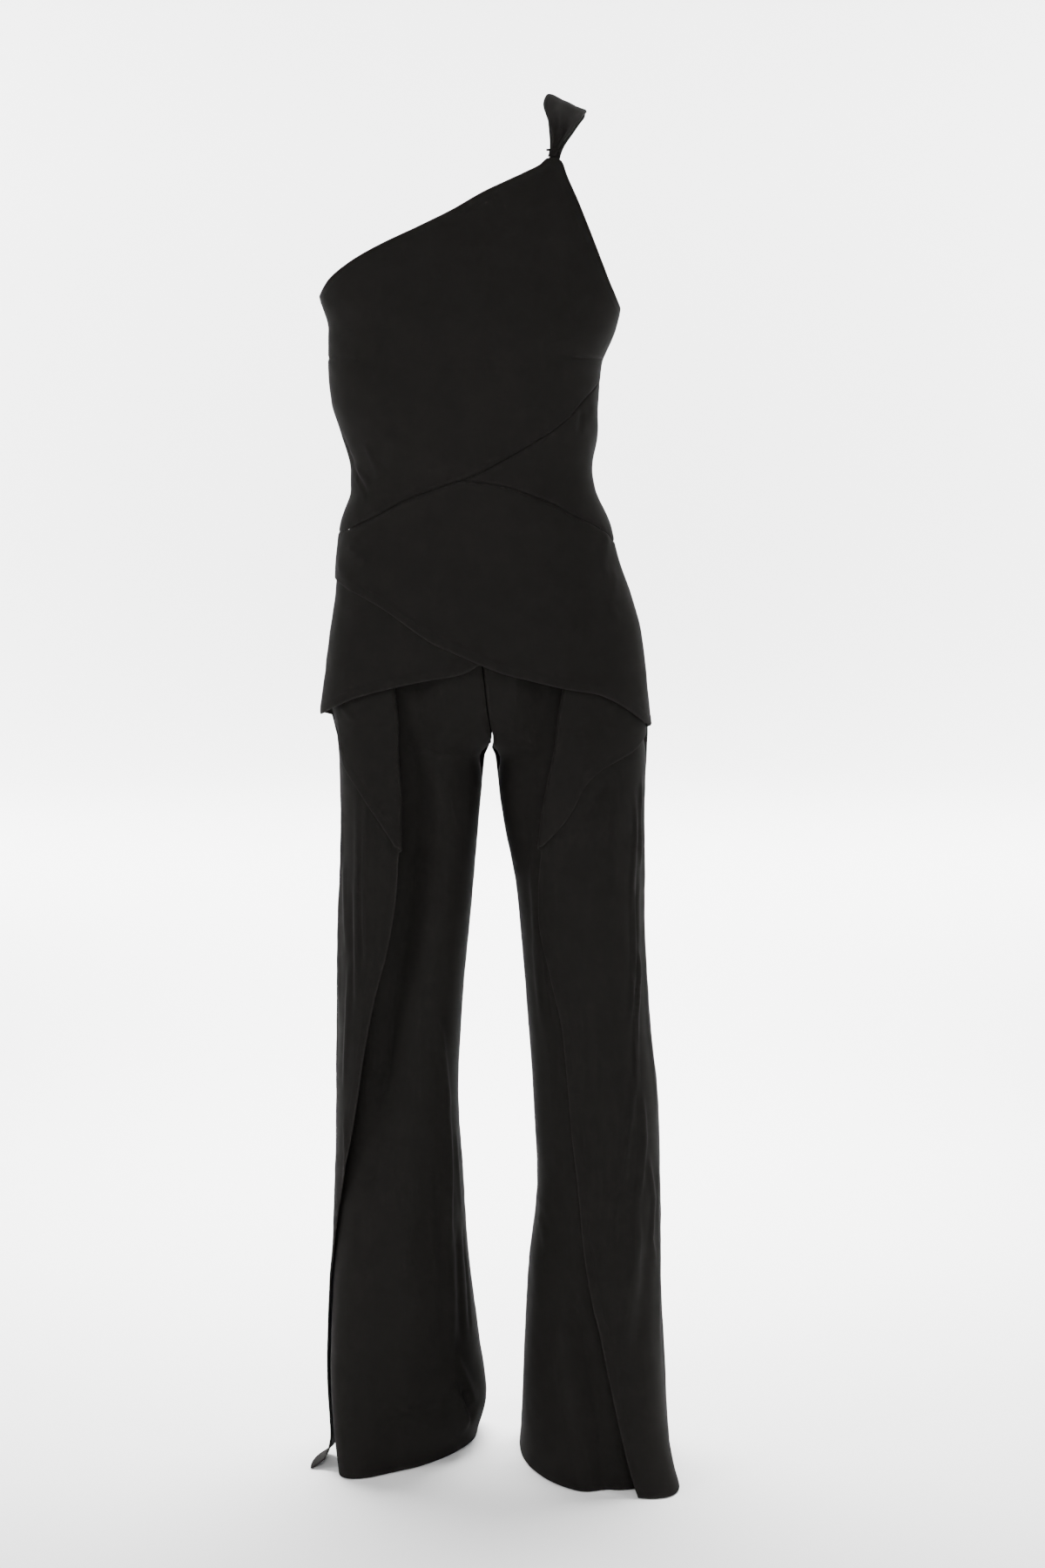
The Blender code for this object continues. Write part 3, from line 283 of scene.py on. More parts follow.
def mix(start: Array | float, end: Array | float, t: Array | float) -> Array:
    """Straight blend of two values."""
    return start + (end - start) * t


def power(value: Array, exponent: float) -> Array:
    """Power of a value that keeps its sign."""
    return np.sign(value) * np.abs(value) ** exponent


@dataclass(frozen=True)
class Section:
    """Plan of the outermost face at one or many heights, x counted towards one side."""

    side: Side
    inner: Array
    outer: Array
    front: Array
    back: Array
    turn: Array

    @classmethod
    def of_trunk(cls, side: Side, height: Array) -> "Section":
        """Section of the trunk.

        Args:
            side: Side that x is counted towards.
            height: Heights above the floor.

        Returns:
            The section at those heights.
        """
        left, right = TRUNK("left", height), TRUNK("right", height)
        inner, outer = (left, right) if side == LEFT else (-right, -left)
        return cls(side, inner, outer, TRUNK("front", height), TRUNK("back", height), 0.0 * left)

    @classmethod
    def of_leg(cls, side: Side, height: Array) -> "Section":
        """Section of a trunk that turns into a leg between hip and crotch.

        Args:
            side: The leg's side.
            height: Heights above the floor.

        Returns:
            The section at those heights.
        """
        trunk = cls.of_trunk(side, np.maximum(height, TRUNK.keys[0]))
        share = ease((CROTCH_TOP - height) / (CROTCH_TOP - CROTCH_LOW))
        sizes = [mix(getattr(trunk, name), LEGS[side](name, height), share)
                 for name in ("inner", "outer", "front", "back", "turn")]
        return cls(side, *sizes)

    def point(self, angle: Array, inset: Array | float) -> tuple[Array, Array]:
        """Plan point on the section.

        Args:
            angle: Angle in degrees, 0 in front and 90 at the side.
            inset: How far inside the outermost face.

        Returns:
            The x and the y of the point.
        """
        sine, cosine = np.sin(np.radians(angle)), np.cos(np.radians(angle))
        depth = np.where(cosine > 0, self.front, self.back)
        half_width = (self.outer - self.inner) / 2 - inset
        x = (self.inner + self.outer) / 2 + half_width * power(sine, SQUARENESS)
        y = -(depth - inset) * power(cosine, SQUARENESS) - self.turn * sine
        return self.side * x, y

    def angle_at(self, x: Array, inset: Array | float = 0.0) -> Array:
        """Angle on the front at an x counted towards the section's side."""
        ratio = (2 * x - self.inner - self.outer) / (self.outer - self.inner - 2 * inset)
        return np.degrees(np.arcsin(power(np.clip(ratio, -1.0, 1.0), 1.0 / SQUARENESS)))

    def outward(self, angle: Array) -> tuple[Array, Array]:
        """Level direction out of the section.

        Args:
            angle: Angle in degrees.

        Returns:
            The x and the y of a direction of length 1.
        """
        (x0, y0), (x1, y1) = self.point(angle - PROBE, 0.0), self.point(angle + PROBE, 0.0)
        across, along = (y1 - y0) * self.side, (x0 - x1) * self.side
        length = np.hypot(across, along)
        return across / length, along / length


def edge_height(edge: Table, angle: Array, start: float, side: Side = LEFT) -> Array:
    """Height where the column at an angle meets an edge.

    Args:
        edge: The edge, x against height.
        angle: Angles of the columns, counted towards the side.
        start: A height near the edge.
        side: Side that x is counted towards.

    Returns:
        A height for each column.
    """
    height = np.full(np.shape(angle), start)
    for _ in range(EDGE_ROUNDS):
        x, _ = Section.of_trunk(side, height).point(angle, 0.0)
        height = mix(height, edge("height", side * x), EDGE_STEP)
    return height


def waist_height(angle: Array) -> Array:
    """Height of the seam that holds the overskirt.

    Args:
        angle: Angles on the front, counted to the left.

    Returns:
        A height for each angle.
    """
    on_bodice = edge_height(BODICE_SEAM, angle, WAIST_LEVEL)
    x, _ = Section.of_trunk(LEFT, on_bodice).point(angle, 0.0)
    return np.where(x <= WAIST_START_X, on_bodice, edge_height(WRAP_SEAM, angle, WAIST_LEVEL))


# ---------------------------------------------------------------- creases
DEGREE_ON_TRUNK = 0.0024         # metres round the body for a degree of a section's angle
DEGREE_ON_LEG = 0.0015
CREASE_END = 0.22                # share of a crease over which it dies out at each end
TROUGH_SHARE, TROUGH_REACH = 0.25, 2.2    # form of the troughs beside it
WAVES, WAVE_GAIN = 7, 1.6        # waves in one unevenness, and what brings it to about 1
WAVE_SPREAD = (0.6, 1.5)         # how much shorter or longer than the mean they may be


@dataclass(frozen=True)
class Crease:
    """Soft fold along a line of (angle, height) points on one side of the body."""

    side: Side
    width: float                 # from the middle of the fold to where it has died out
    out: float                   # height of the ridge, below 0 for a trough
    line: tuple[tuple[float, float], ...]
    trough: float = 0.45         # depth of the shallow troughs beside it, as a share
    end_open: bool = False       # the last point is at a hem, where the fold doesn't die out

    def lift(self, angle: Array, height: Array, degree: float) -> Array:
        """Height of the fold at places on the body.

        Args:
            angle: Angles counted towards this crease's side.
            height: Heights above the floor.
            degree: Metres round the body for a degree.

        Returns:
            How far the cloth stands out there.
        """
        x, z = angle * degree, height
        knots = np.array([(a * degree, h) for a, h in self.line])
        spans = np.hypot(*np.diff(knots, axis=0).T)
        total = spans.sum()
        least, where = np.full(x.shape, np.inf), np.zeros(x.shape)
        run = 0.0
        for start, end, span in zip(knots, knots[1:], spans):
            t = ((x - start[0]) * (end[0] - start[0]) + (z - start[1]) * (end[1] - start[1])) / span**2
            t = np.clip(t, 0.0, 1.0)
            away = np.hypot(x - mix(start[0], end[0], t), z - mix(start[1], end[1], t))
            nearer = away < least
            least = np.where(nearer, away, least)
            where = np.where(nearer, (run + t * span) / total, where)
            run += span
        fade = ease(where / CREASE_END)
        if not self.end_open:
            fade = fade * ease((1.0 - where) / CREASE_END)
        wide = 2.0 * least / self.width
        beside = TROUGH_SHARE * self.trough * wide**2 * np.exp(-wide**2 / TROUGH_REACH)
        return self.out * fade * (np.exp(-wide**2) - beside)


def creases(side: Side, *rows: tuple[float, ...]) -> tuple[Crease, ...]:
    """Creases from rows of numbers.

    Args:
        side: Their side.
        rows: Width and height in millimetres, then angle and millimetres above the floor in turn.

    Returns:
        A crease for each row.
    """
    return tuple(Crease(side, row[0] / 1000, row[1] / 1000,
                        tuple((angle, up / 1000) for angle, up in zip(row[2::2], row[3::2])))
                 for row in rows)


def pressed(found: tuple[Crease, ...], side: Side, angle: Array, height: Array) -> Array:
    """Sum of the creases at places on the body.

    Args:
        found: The creases that this cloth has.
        side: Side that the angles are counted towards.
        angle: Angles in degrees.
        height: Heights above the floor.

    Returns:
        How far the cloth stands out at each place.
    """
    total = np.zeros(angle.shape)
    for crease in found:
        top = max(h for _, h in crease.line)
        same = crease.side == side
        if same or top >= CROTCH_LOW:
            counted = angle if same else (180.0 - angle) % 360.0 - 180.0
            total += crease.lift(counted, height, DEGREE_ON_TRUNK if top > CROTCH_TOP else DEGREE_ON_LEG)
    return total


def ripple(points: Array, length: float, seed: int) -> Array:
    """Smooth unevenness between -1 and 1.

    Args:
        points: Places, the last axis being x, y and z.
        length: About how far apart its bumps stand.
        seed: Number of the pattern.

    Returns:
        A value for each place.
    """
    random = np.random.default_rng(seed)
    total = np.zeros(points.shape[:-1])
    for _ in range(WAVES):
        direction = random.normal(size=3)
        direction *= random.uniform(*WAVE_SPREAD) / np.linalg.norm(direction)
        total += np.sin(2 * math.pi / length * (points @ direction) + random.uniform(0, 2 * math.pi))
    return total / WAVES * WAVE_GAIN


# Soft folds and drag lines of bodice and overskirt.
TRUNK_CREASES = creases(
    LEFT,
    (12, 1.5, -51, 1094, -49, 1075, -44, 1057), (10, 1.3, -76, 1071, -61, 1059, -51, 1046),
    (9, 1.2, -73, 1060, -55, 1032), (16, -1.8, -74, 1105, -76, 1080, -66, 1053, -53, 1032),
    (34, 1.3, 28, 1357, 16, 1314, 5, 1272, -4, 1188), (20, 0.8, 31, 1336, 37, 1247, 49, 1191),
    (26, 1.6, 62, 1133, 90, 1097, 90, 1070), (14, -1.4, 59, 1126, 57, 1100),
    (12, 1.5, -64, 990, -54, 980, -46, 970), (16, 1.2, -79, 973, -62, 956, -55, 932),
    (18, 1.4, 74, 1004, 61, 976, 57, 951), (14, 1.1, 72, 965, 55, 932, 58, 905),
    (22, 0.9, 31, 970, 34, 908, 43, 872), (26, 0.8, -25, 1014, -7, 962, 7, 928),
    (16, 1.6, 104, 1075, 122, 1045, 140, 1030), (13, 1.2, 100, 1120, 114, 1085, 136, 1066),
    (20, 1.1, 112, 1230, 128, 1180, 150, 1150), (30, 1.2, 168, 1300, 150, 1240, 140, 1180),
    (15, 1.5, 256, 1072, 240, 1048, 222, 1026), (12, 1.2, 260, 1110, 243, 1080, 226, 1070),
    (22, 1, 250, 1205, 232, 1168, 214, 1150), (12, -1.1, 196, 1066, 206, 1058, 216, 1060),
    (14, 1.3, 150, 1090, 163, 1078, 176, 1082))

# Beside the left layer's free edge the layer and the trousers under it sink together.
LEFT_VALLEY = Crease(
    LEFT, 0.052, -0.0060,
    ((-8, 0.70), (-10, 0.63), (-12, 0.56), (-13, 0.49), (-9, 0.39), (-2, 0.289), (8, 0.19)), 0.3)

# The wearer's left: the falling layer, from its free edge round to the side.
LEFT_LAYER_CREASES = (LEFT_VALLEY,) + creases(
    LEFT,
    (10, 2.7, 51, 744, 56, 707, 54, 671, 50, 636, 51, 601, 50, 564, 44, 522, 34, 481),
    (9, 2.2, 68, 750, 63, 712, 67, 649), (9, 2.3, 54, 590, 59, 547, 50, 506, 40, 450, 34, 408),
    (8, -1.8, 60, 660, 58, 596, 54, 541, 44, 488), (11, 2.4, 36, 438, 26, 390, 20, 349, 19, 325, 29, 311),
    (11, 2.7, 43, 432, 44, 372, 38, 334, 32, 302, 33, 265, 30, 224),
    (10, 2.3, 45, 359, 58, 300, 54, 259, 66, 221), (8, 1, 16, 317, 13, 287, 11, 254),
    (7, -0.8, -4, 250, 5, 258), (28, 3.6, 33, 301, 28, 224, 18, 152, 11, 88),
    (30, -2.8, 47, 265, 45, 210, 34, 140), (14, -1.5, -7, 539, -5, 484, -12, 391, -9, 308),
    (40, -4.5, 22, 760, 12, 720, 2, 690, -6, 650), (20, 1.2, 25, 767, 29, 703, 23, 612, 13, 511),
    (12, 0.9, 9, 493, -1, 410, 0, 327), (16, 1.5, 76, 760, 80, 640, 74, 500, 70, 360),
    (12, 1.3, 84, 700, 86, 560, 82, 430), (18, 1.6, 66, 360, 72, 240, 66, 120),
    (16, 1.4, 86, 330, 80, 200, 84, 60))

# The wearer's right: the falling layer.
RIGHT_LAYER_CREASES = creases(
    RIGHT,
    (12, 1.5, 42, 755, 43, 710, 41, 618, 37, 494), (11, 1.4, 32, 743, 35, 656, 28, 556),
    (12, 1.1, 66, 668, 61, 614, 53, 560), (11, 1.6, 49, 566, 52, 485, 56, 410),
    (14, -1.2, 19, 672, 20, 603, 24, 538), (10, 1.3, 54, 401, 51, 345, 54, 298),
    (10, -1.2, 39, 701, 36, 601, 31, 518), (10, -1.1, 51, 653, 46, 571, 43, 488),
    (8, 1, 64, 824, 55, 815, 50, 808), (16, 1.3, 72, 740, 76, 600, 70, 470),
    (13, 1.4, 82, 660, 80, 520, 86, 380), (15, 1.3, 92, 560, 96, 400, 94, 260),
    (16, 1.4, 84, 250, 90, 140, 96, 40))

# Trouser legs: the fronts beside the falling layers, the inseams and the backs.
TROUSER_CREASES = (LEFT_VALLEY,) + creases(
    RIGHT,
    (40, 1.8, -2, 813, -32, 757, -27, 703), (14, -1.4, -19, 794, -50, 713),
    (30, 1.6, -14, 520, -15, 427, -8, 285, -1, 188), (11, 2.2, -35, 508, -44, 469, -54, 419, -58, 380),
    (10, 2.4, -57, 399, -55, 332, -49, 275, -48, 234), (9, 1.1, -69, 376, -69, 317, -71, 266),
    (10, 1.4, -48, 224, -45, 174, -36, 116), (16, -2.2, -41, 346, -39, 278, -35, 198, -26, 120),
    (14, -2.2, -60, 271, -56, 190, -49, 120), (10, 2.8, -41, 118, -48, 78, -58, 44),
    (13, 4, -35, 89, -40, 56, -52, 24), (8, 1.2, -46, 103, -54, 75, -64, 53),
    (14, -3.6, -41, 82, -48, 55, -58, 29), (28, -4.5, 24, 54, 1, 65, -18, 65, -34, 61),
    (9, -1.2, -73, 265, -71, 193, -63, 124), (15, 1.5, 110, 850, 124, 800, 140, 780),
    (26, 1.8, 150, 700, 156, 560, 150, 400), (12, 1.2, 118, 640, 122, 540, 116, 440),
    (14, 1.4, 166, 600, 172, 480, 168, 360), (20, -2.2, 130, 420, 136, 260, 140, 120),
    (14, 1.6, 160, 240, 152, 130, 150, 30), (11, 1.2, 104, 500, 108, 360, 104, 240),
    (12, 1.3, 176, 780, 160, 765, 140, 750), (10, 1, 186, 520, 190, 420, 186, 330)) + creases(
    LEFT,
    (16, 1.6, -39, 747, -47, 654, -55, 560, -54, 467), (12, -1.3, -42, 646, -45, 553, -40, 480),
    (10, 1.3, -87, 298, -60, 286, -46, 270), (9, 1.1, -75, 281, -61, 264, -49, 242),
    (30, 1.5, -35, 247, -26, 155, -17, 65), (14, -1.1, -49, 204, -39, 150, -40, 93),
    (34, -2.4, -9, 196, -1, 115, 8, 34), (12, 1.2, 0, 849, -7, 822, -33, 793),
    (20, 1.2, -7, 804, -33, 766, -31, 721), (15, 1.5, 106, 845, 122, 800, 136, 785),
    (26, 1.8, 146, 690, 152, 540, 148, 380), (12, 1.3, 114, 600, 118, 500, 112, 400),
    (14, 1.5, 168, 620, 170, 500, 176, 380), (20, -2.2, 132, 400, 130, 260, 138, 110),
    (16, 1.5, 158, 230, 162, 120, 156, 20), (11, 1.2, 102, 460, 106, 330, 100, 220),
    (12, 1.3, 174, 785, 158, 768, 142, 756), (9, 1.1, 188, 480, 184, 380, 190, 300))

# Bust darts, from the tip to the side seam, and the dimple at each tip.
DARTS = (
    Crease(LEFT, 0.0038, -0.0010, ((-43, 1.178), (-89, 1.1755)), 0.0, True),
    Crease(LEFT, 0.0038, -0.0010, ((38, 1.179), (89, 1.1748)), 0.0, True),
    Crease(LEFT, 0.015, -0.0008, ((-49, 1.178), (-36, 1.1785))),
    Crease(LEFT, 0.015, -0.0008, ((46, 1.179), (32, 1.1795))))


# ---------------------------------------------------------------- cloth shells
RIM_LADDER = np.array((0.0, 0.00012, 0.0004, 0.0010, 0.0022, 0.0045))   # lines close to an edge
RIM_MOST = 0.2                   # largest share of a short line that they take up
SLANT_LINES = 4                  # lines from an edge to where the slant of the lattice is read
TINY = 1e-15                     # keeps a division from failing
SEAM_DIP, SEAM_DIP_WIDTH = 0.0007, 0.0016     # a seam draws the cloth in
PUCKER, PUCKER_LENGTH, PUCKER_WIDTH, PUCKER_SEED = 0.00018, 0.011, 0.008, 3    # and puckers it
HEM_DEPTH, HEM_STEP, HEM_THICK = 0.0085, 0.0020, 0.00022   # turned hem: depth, edge and extra
EDGE_HIGHLIGHT_WIDTH = 0.0012              # how far in from a turned edge its painted highlight reaches
UNEVEN = ((0.00050, 0.110, 5), (0.00022, 0.034, 9))        # height, length and seed of soft waves


class Edge(Enum):
    """Edge of a lattice."""

    TOP = 0
    BOTTOM = 1
    START = 2
    END = 3


class Held(Enum):
    """How a cloth panel is held."""

    HUNG = "hung"
    GATHERED = "gathered"


@dataclass
class Lie:
    """A panel's middle face: points, and where each lies on the body."""

    points: Array                # rows, columns, xyz
    angle: Array
    height: Array
    out: Array                   # direction out of the body at each point
    base: Array                  # the point on the outermost face in front of each point


def laddered(count: int, length: Array) -> Array:
    """Shares from 0 to 1 along lines, with a few close to both ends.

    Args:
        count: How many shares.
        length: Length of each line.

    Returns:
        A row of shares for each share, one column for each line.
    """
    length = np.atleast_1d(length)
    near = RIM_LADDER[:, None] * np.minimum(1.0 / length, RIM_MOST / RIM_LADDER[-1])
    steps = np.linspace(0.0, 1.0, count - 2 * len(RIM_LADDER) + 2)[1:-1, None]
    middle = mix(near[-1], 1.0 - near[-1], steps)
    return np.vstack((near, middle, 1.0 - near[::-1]))


def run_lengths(points: Array, axis: int) -> Array:
    """Length along the lattice lines from their start.

    Args:
        points: Lattice of points.
        axis: 0 down the columns, 1 along the rows.

    Returns:
        The length at each point.
    """
    steps = np.linalg.norm(np.diff(points, axis=axis), axis=2)
    zero = np.zeros_like(np.take(steps, [0], axis=axis))
    return np.concatenate((zero, np.cumsum(steps, axis=axis)), axis=axis)


def edge_distances(points: Array) -> dict[Edge, Array]:
    """Distance of each point to the four edges of its lattice.

    Args:
        points: Lattice of points.

    Returns:
        An array of distances for each edge.
    """
    found = {}
    for axis, first, last in ((0, Edge.TOP, Edge.BOTTOM), (1, Edge.START, Edge.END)):
        run = run_lengths(points, axis)
        for edge, index, inner in ((first, 0, SLANT_LINES), (last, -1, -1 - SLANT_LINES)):
            line = np.gradient(np.take(points, index, axis=axis), axis=0)
            cross = np.take(points, inner, axis=axis) - np.take(points, index, axis=axis)
            slant = np.linalg.norm(np.cross(line, cross), axis=1)
            slant /= np.linalg.norm(line, axis=1) * np.linalg.norm(cross, axis=1) + TINY
            away = np.abs(run - np.take(run, [index], axis=axis))
            found[edge] = away * (slant[None, :] if axis == 0 else slant[:, None])
    return found


def face_normals(points: Array) -> Array:
    """Unit normal at each point of a lattice."""
    normal = np.cross(np.gradient(points, axis=0), np.gradient(points, axis=1))
    return normal / (np.linalg.norm(normal, axis=2, keepdims=True) + TINY)


def link(name: str, data: bpy.types.ID) -> bpy.types.Object:
    """New object in the scene.

    Args:
        name: Its name.
        data: Its mesh, lamp or camera.

    Returns:
        The object.
    """
    made = bpy.data.objects.new(name, data)
    bpy.context.scene.collection.objects.link(made)
    return made


def smooth_object(name: str, corners: Array, faces: Array, closed: bool = True) -> bpy.types.Object:
    """Smooth object from corners and faces.

    Args:
        name: Name of the piece.
        corners: Its corners, the last axis being x, y and z.
        faces: Corner numbers of each face.
        closed: It is a closed piece, given from the floor, whose faces turn outwards.

    Returns:
        The object.
    """
    mesh = bpy.data.meshes.new(name)
    corners = corners.reshape(-1, 3) - (ORIGIN if closed else 0.0)
    mesh.from_pydata(corners.tolist(), [], faces.reshape(-1, 4).tolist())
    mesh.shade_smooth()
    if closed:
        solid = bmesh.new()
        solid.from_mesh(mesh)
        bmesh.ops.recalc_face_normals(solid, faces=solid.faces)
        solid.to_mesh(mesh)
        solid.free()
    return link(name, mesh)


def dress(made: bpy.types.Object, material: bpy.types.Material, node: str = "") -> None:
    """Give a piece its finish and tell the frame what it is.

    Args:
        made: The piece.
        material: Its material.
        node: The solid that it replaces, if any.
    """
    made.data.materials.append(material)
    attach(made, GARMENT)
    if node:
        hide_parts(node)


def shell_object(name: str, points: Array, normals: Array, half: Array, edge_highlight: Array) -> bpy.types.Object:
    """Closed shell on both sides of a lattice, thinned to nothing at its border.

    Args:
        name: Name of the piece.
        points: Lattice of the middle face.
        normals: Its normals.
        half: Half of the thickness at each point.
        edge_highlight: How close each point is to a turned edge, from 0 to 1, for the painted highlight
            along it.

    Returns:
        The object.
    """
    inner = slice(1, -1)
    half = np.pad(half[inner, inner], 1)
    front = np.arange(half.size).reshape(half.shape)
    behind = front.copy()
    behind[inner, inner] = np.arange(half[inner, inner].size).reshape(half[inner, inner].shape) + half.size
    shift = normals * half[..., None]
    corners = np.vstack(((points + shift).reshape(-1, 3), (points - shift)[inner, inner].reshape(-1, 3)))
    quads = []
    for grid, order in ((front, (0, 1, 2, 3)), (behind, (3, 2, 1, 0))):
        loops = (grid[:-1, :-1], grid[1:, :-1], grid[1:, 1:], grid[:-1, 1:])
        quads.append(np.stack([loops[i] for i in order], axis=-1).reshape(-1, 4))
    made = smooth_object(name, corners, np.vstack(quads))
    # the edge attribute carries the painted highlight along turned edges
    share = np.concatenate((edge_highlight.ravel(), edge_highlight[inner, inner].ravel())).astype(np.float32)
    made.data.attributes.new("edge", "FLOAT", "POINT").data.foreach_set("value", share)
    return made


@dataclass
class Panel:
    """One cut piece of crepe: its lattice, how it is sewn, and its cut."""

    name: str
    node: str
    flat: tuple[float, float]                # size of the rectangle that the cut fits in
    area: float                              # flat area of the cut
    columns: int = 0                         # 0 where its class counts them
    rows: int = 0
    side: Side = LEFT
    wall: float = WALL
    held: Held = Held.HUNG
    seams: tuple[Edge, ...] = ()             # edges that are sewn to another piece
    creases: tuple[Crease, ...] = ()
    made: bpy.types.Object | None = field(default=None, init=False)

    def lie(self) -> Lie:
        """Work out the middle face."""
        raise NotImplementedError

    def on_body(self, section: Section, angle: Array, plan: tuple[Array, Array], height: Array) -> Lie:
        """Middle face from places on the body.

        Args:
            section: The body's section at each height.
            angle: Section angle of each point.
            plan: The x and the y of each point.
            height: Height of each point.

        Returns:
            The middle face.
        """
        out_x, out_y = section.outward(angle)
        out = np.stack((out_x, out_y, np.zeros_like(out_x)), axis=-1)
        base = np.stack((*section.point(angle, 0.0), height), axis=-1)
        return Lie(np.stack((*plan, height), axis=-1), angle, height, out, base)

    def upright(self, angle: Array, top: Array, low: Array) -> Lie:
        """Middle face on the trunk's outermost face, its columns upright.

        Args:
            angle: Section angle of each column, counted to the left.
            top: Height of its top.
            low: Height of its lower end.

        Returns:
            The middle face.
        """
        height = mix(top, low, laddered(self.rows, top - low))
        angle = np.broadcast_to(angle, height.shape)
        section = Section.of_trunk(LEFT, height)
        return self.on_body(section, angle, section.point(angle, 0.0), height)

    def press(self, lie: Lie) -> Array:
        """Points with the creases and the cloth's unevenness pressed in.

        Args:
            lie: The panel's middle face.

        Returns:
            The new points.
        """
        lift = pressed(self.creases, self.side, lie.angle, lie.height)
        for height, length, seed in UNEVEN:
            lift = lift + height * ripple(lie.base, length, seed)
        return lie.points + lie.out * lift[..., None]

    def sew(self, points: Array, out: Array, edges: dict[Edge, Array]) -> tuple[Array, Array, Array]:
        """Draw the cloth in at its seams and turn its free edges.

        Args:
            points: Lattice of the middle face.
            out: Direction out of the body at each point.
            edges: Distance to each edge.

        Returns:
            New points, half of the thickness, and how close each point is to a turned edge, where the
            crepe gets a painted highlight.
        """
        drop = np.zeros(points.shape[:2])
        half = np.full(drop.shape, self.wall / 2)
        edge_highlight = np.zeros(drop.shape)
        for edge, away in edges.items():
            if edge in self.seams:
                drop += SEAM_DIP * np.exp(-(away / SEAM_DIP_WIDTH) ** 2)
                pucker = ripple(points, PUCKER_LENGTH, PUCKER_SEED)
                drop += PUCKER * pucker * np.exp(-(away / PUCKER_WIDTH) ** 2)
            else:
                turned = 1.0 - ease((away - HEM_DEPTH) / HEM_STEP)
                half = np.maximum(half, self.wall / 2 + HEM_THICK * turned)
                # painted highlight: turned edges are drawn paler, as where they catch the light
                edge_highlight = np.maximum(edge_highlight, np.exp(-(away / EDGE_HIGHLIGHT_WIDTH) ** 2))
        least = np.minimum.reduce(list(edges.values()))
        round_off = np.sqrt(np.clip(1.0 - (1.0 - np.clip(least / half, 0.0, 1.0)) ** 2, 0.0, 1.0))
        return points - out * drop[..., None], half * round_off, edge_highlight

    def build(self) -> bpy.types.Object:
        """Make the shell.

        Returns:
            The object.
        """
        lie = self.lie()
        points = self.press(lie)
        normals = face_normals(points)
        sure = slice(0, points.shape[1] // 4)      # columns before any fold
        normals *= np.sign(np.sum(normals[:, sure] * lie.out[:, sure]))
        points, half, edge_highlight = self.sew(points, lie.out, edge_distances(points))
        self.made = shell_object(self.name, points, normals, half, edge_highlight)
        return self.made

    def dress(self, material: bpy.types.Material, slot: str = "crepe") -> None:
        """Give the shell its finish and tell the frame what it is."""
        dress(self.made, material, self.node)


# ---------------------------------------------------------------- bodice
@dataclass
class FrontPanel(Panel):
    """Panel of the front between two edges given as x against height."""

    upper: Table = NECKLINE
    lower: Table = BODICE_SEAM
    upper_start: float = NECK_LEVEL
    upper_shift: float = 0.0
    first: float = -SIDE_EDGE

    def lie(self) -> Lie:
        """Middle face of the panel.

        Returns:
            The face.
        """
        share = laddered(self.columns, (SIDE_EDGE - self.first) * DEGREE_ON_TRUNK)[:, 0]
        angle = mix(self.first, SIDE_EDGE, share)
        top = edge_height(self.upper, angle, self.upper_start) + self.upper_shift
        return self.upright(angle, top, edge_height(self.lower, angle, WAIST_LEVEL) + SEAM / 2)


@dataclass
class BackPanel(Panel):
    """One half of the back, between the middle seam and the side seam."""

    first: float = MIDDLE_EDGE
    last: float = SIDE_EDGE

    def lie(self) -> Lie:
        """Middle face of the panel.

        Returns:
            The face.
        """
        angle = mix(self.first, self.last, laddered(self.columns, 90.0 * DEGREE_ON_TRUNK)[:, 0])
        top = edge_height(BACK_NECKLINE, angle, NECK_LEVEL)
        x, _ = Section.of_trunk(LEFT, BACK_WAIST_LEVEL + 0.0 * angle).point(angle, 0.0)
        return self.upright(180.0 - angle, top, BACK_WAIST("height", x) + SEAM / 2)


# ---------------------------------------------------------------- overskirt
FOLD_COLUMNS = 9                 # columns round a fold
FIRST_COLUMNS, SECOND_COLUMNS, THIRD_COLUMNS, PLAIN_COLUMNS = 96, 52, 84, 36
FIRST_WIDTH, PLAIN_WIDTH = 0.30, 0.08     # about how wide those parts of a panel are
DENSE = 600                      # points from which a free edge is read
HEM_PULL, HEM_EVEN = 0.06, DENSE // 16       # part of the second hem that is stepped evenly
STEEPEST = 89.0                  # largest section angle at which the waist seam is read


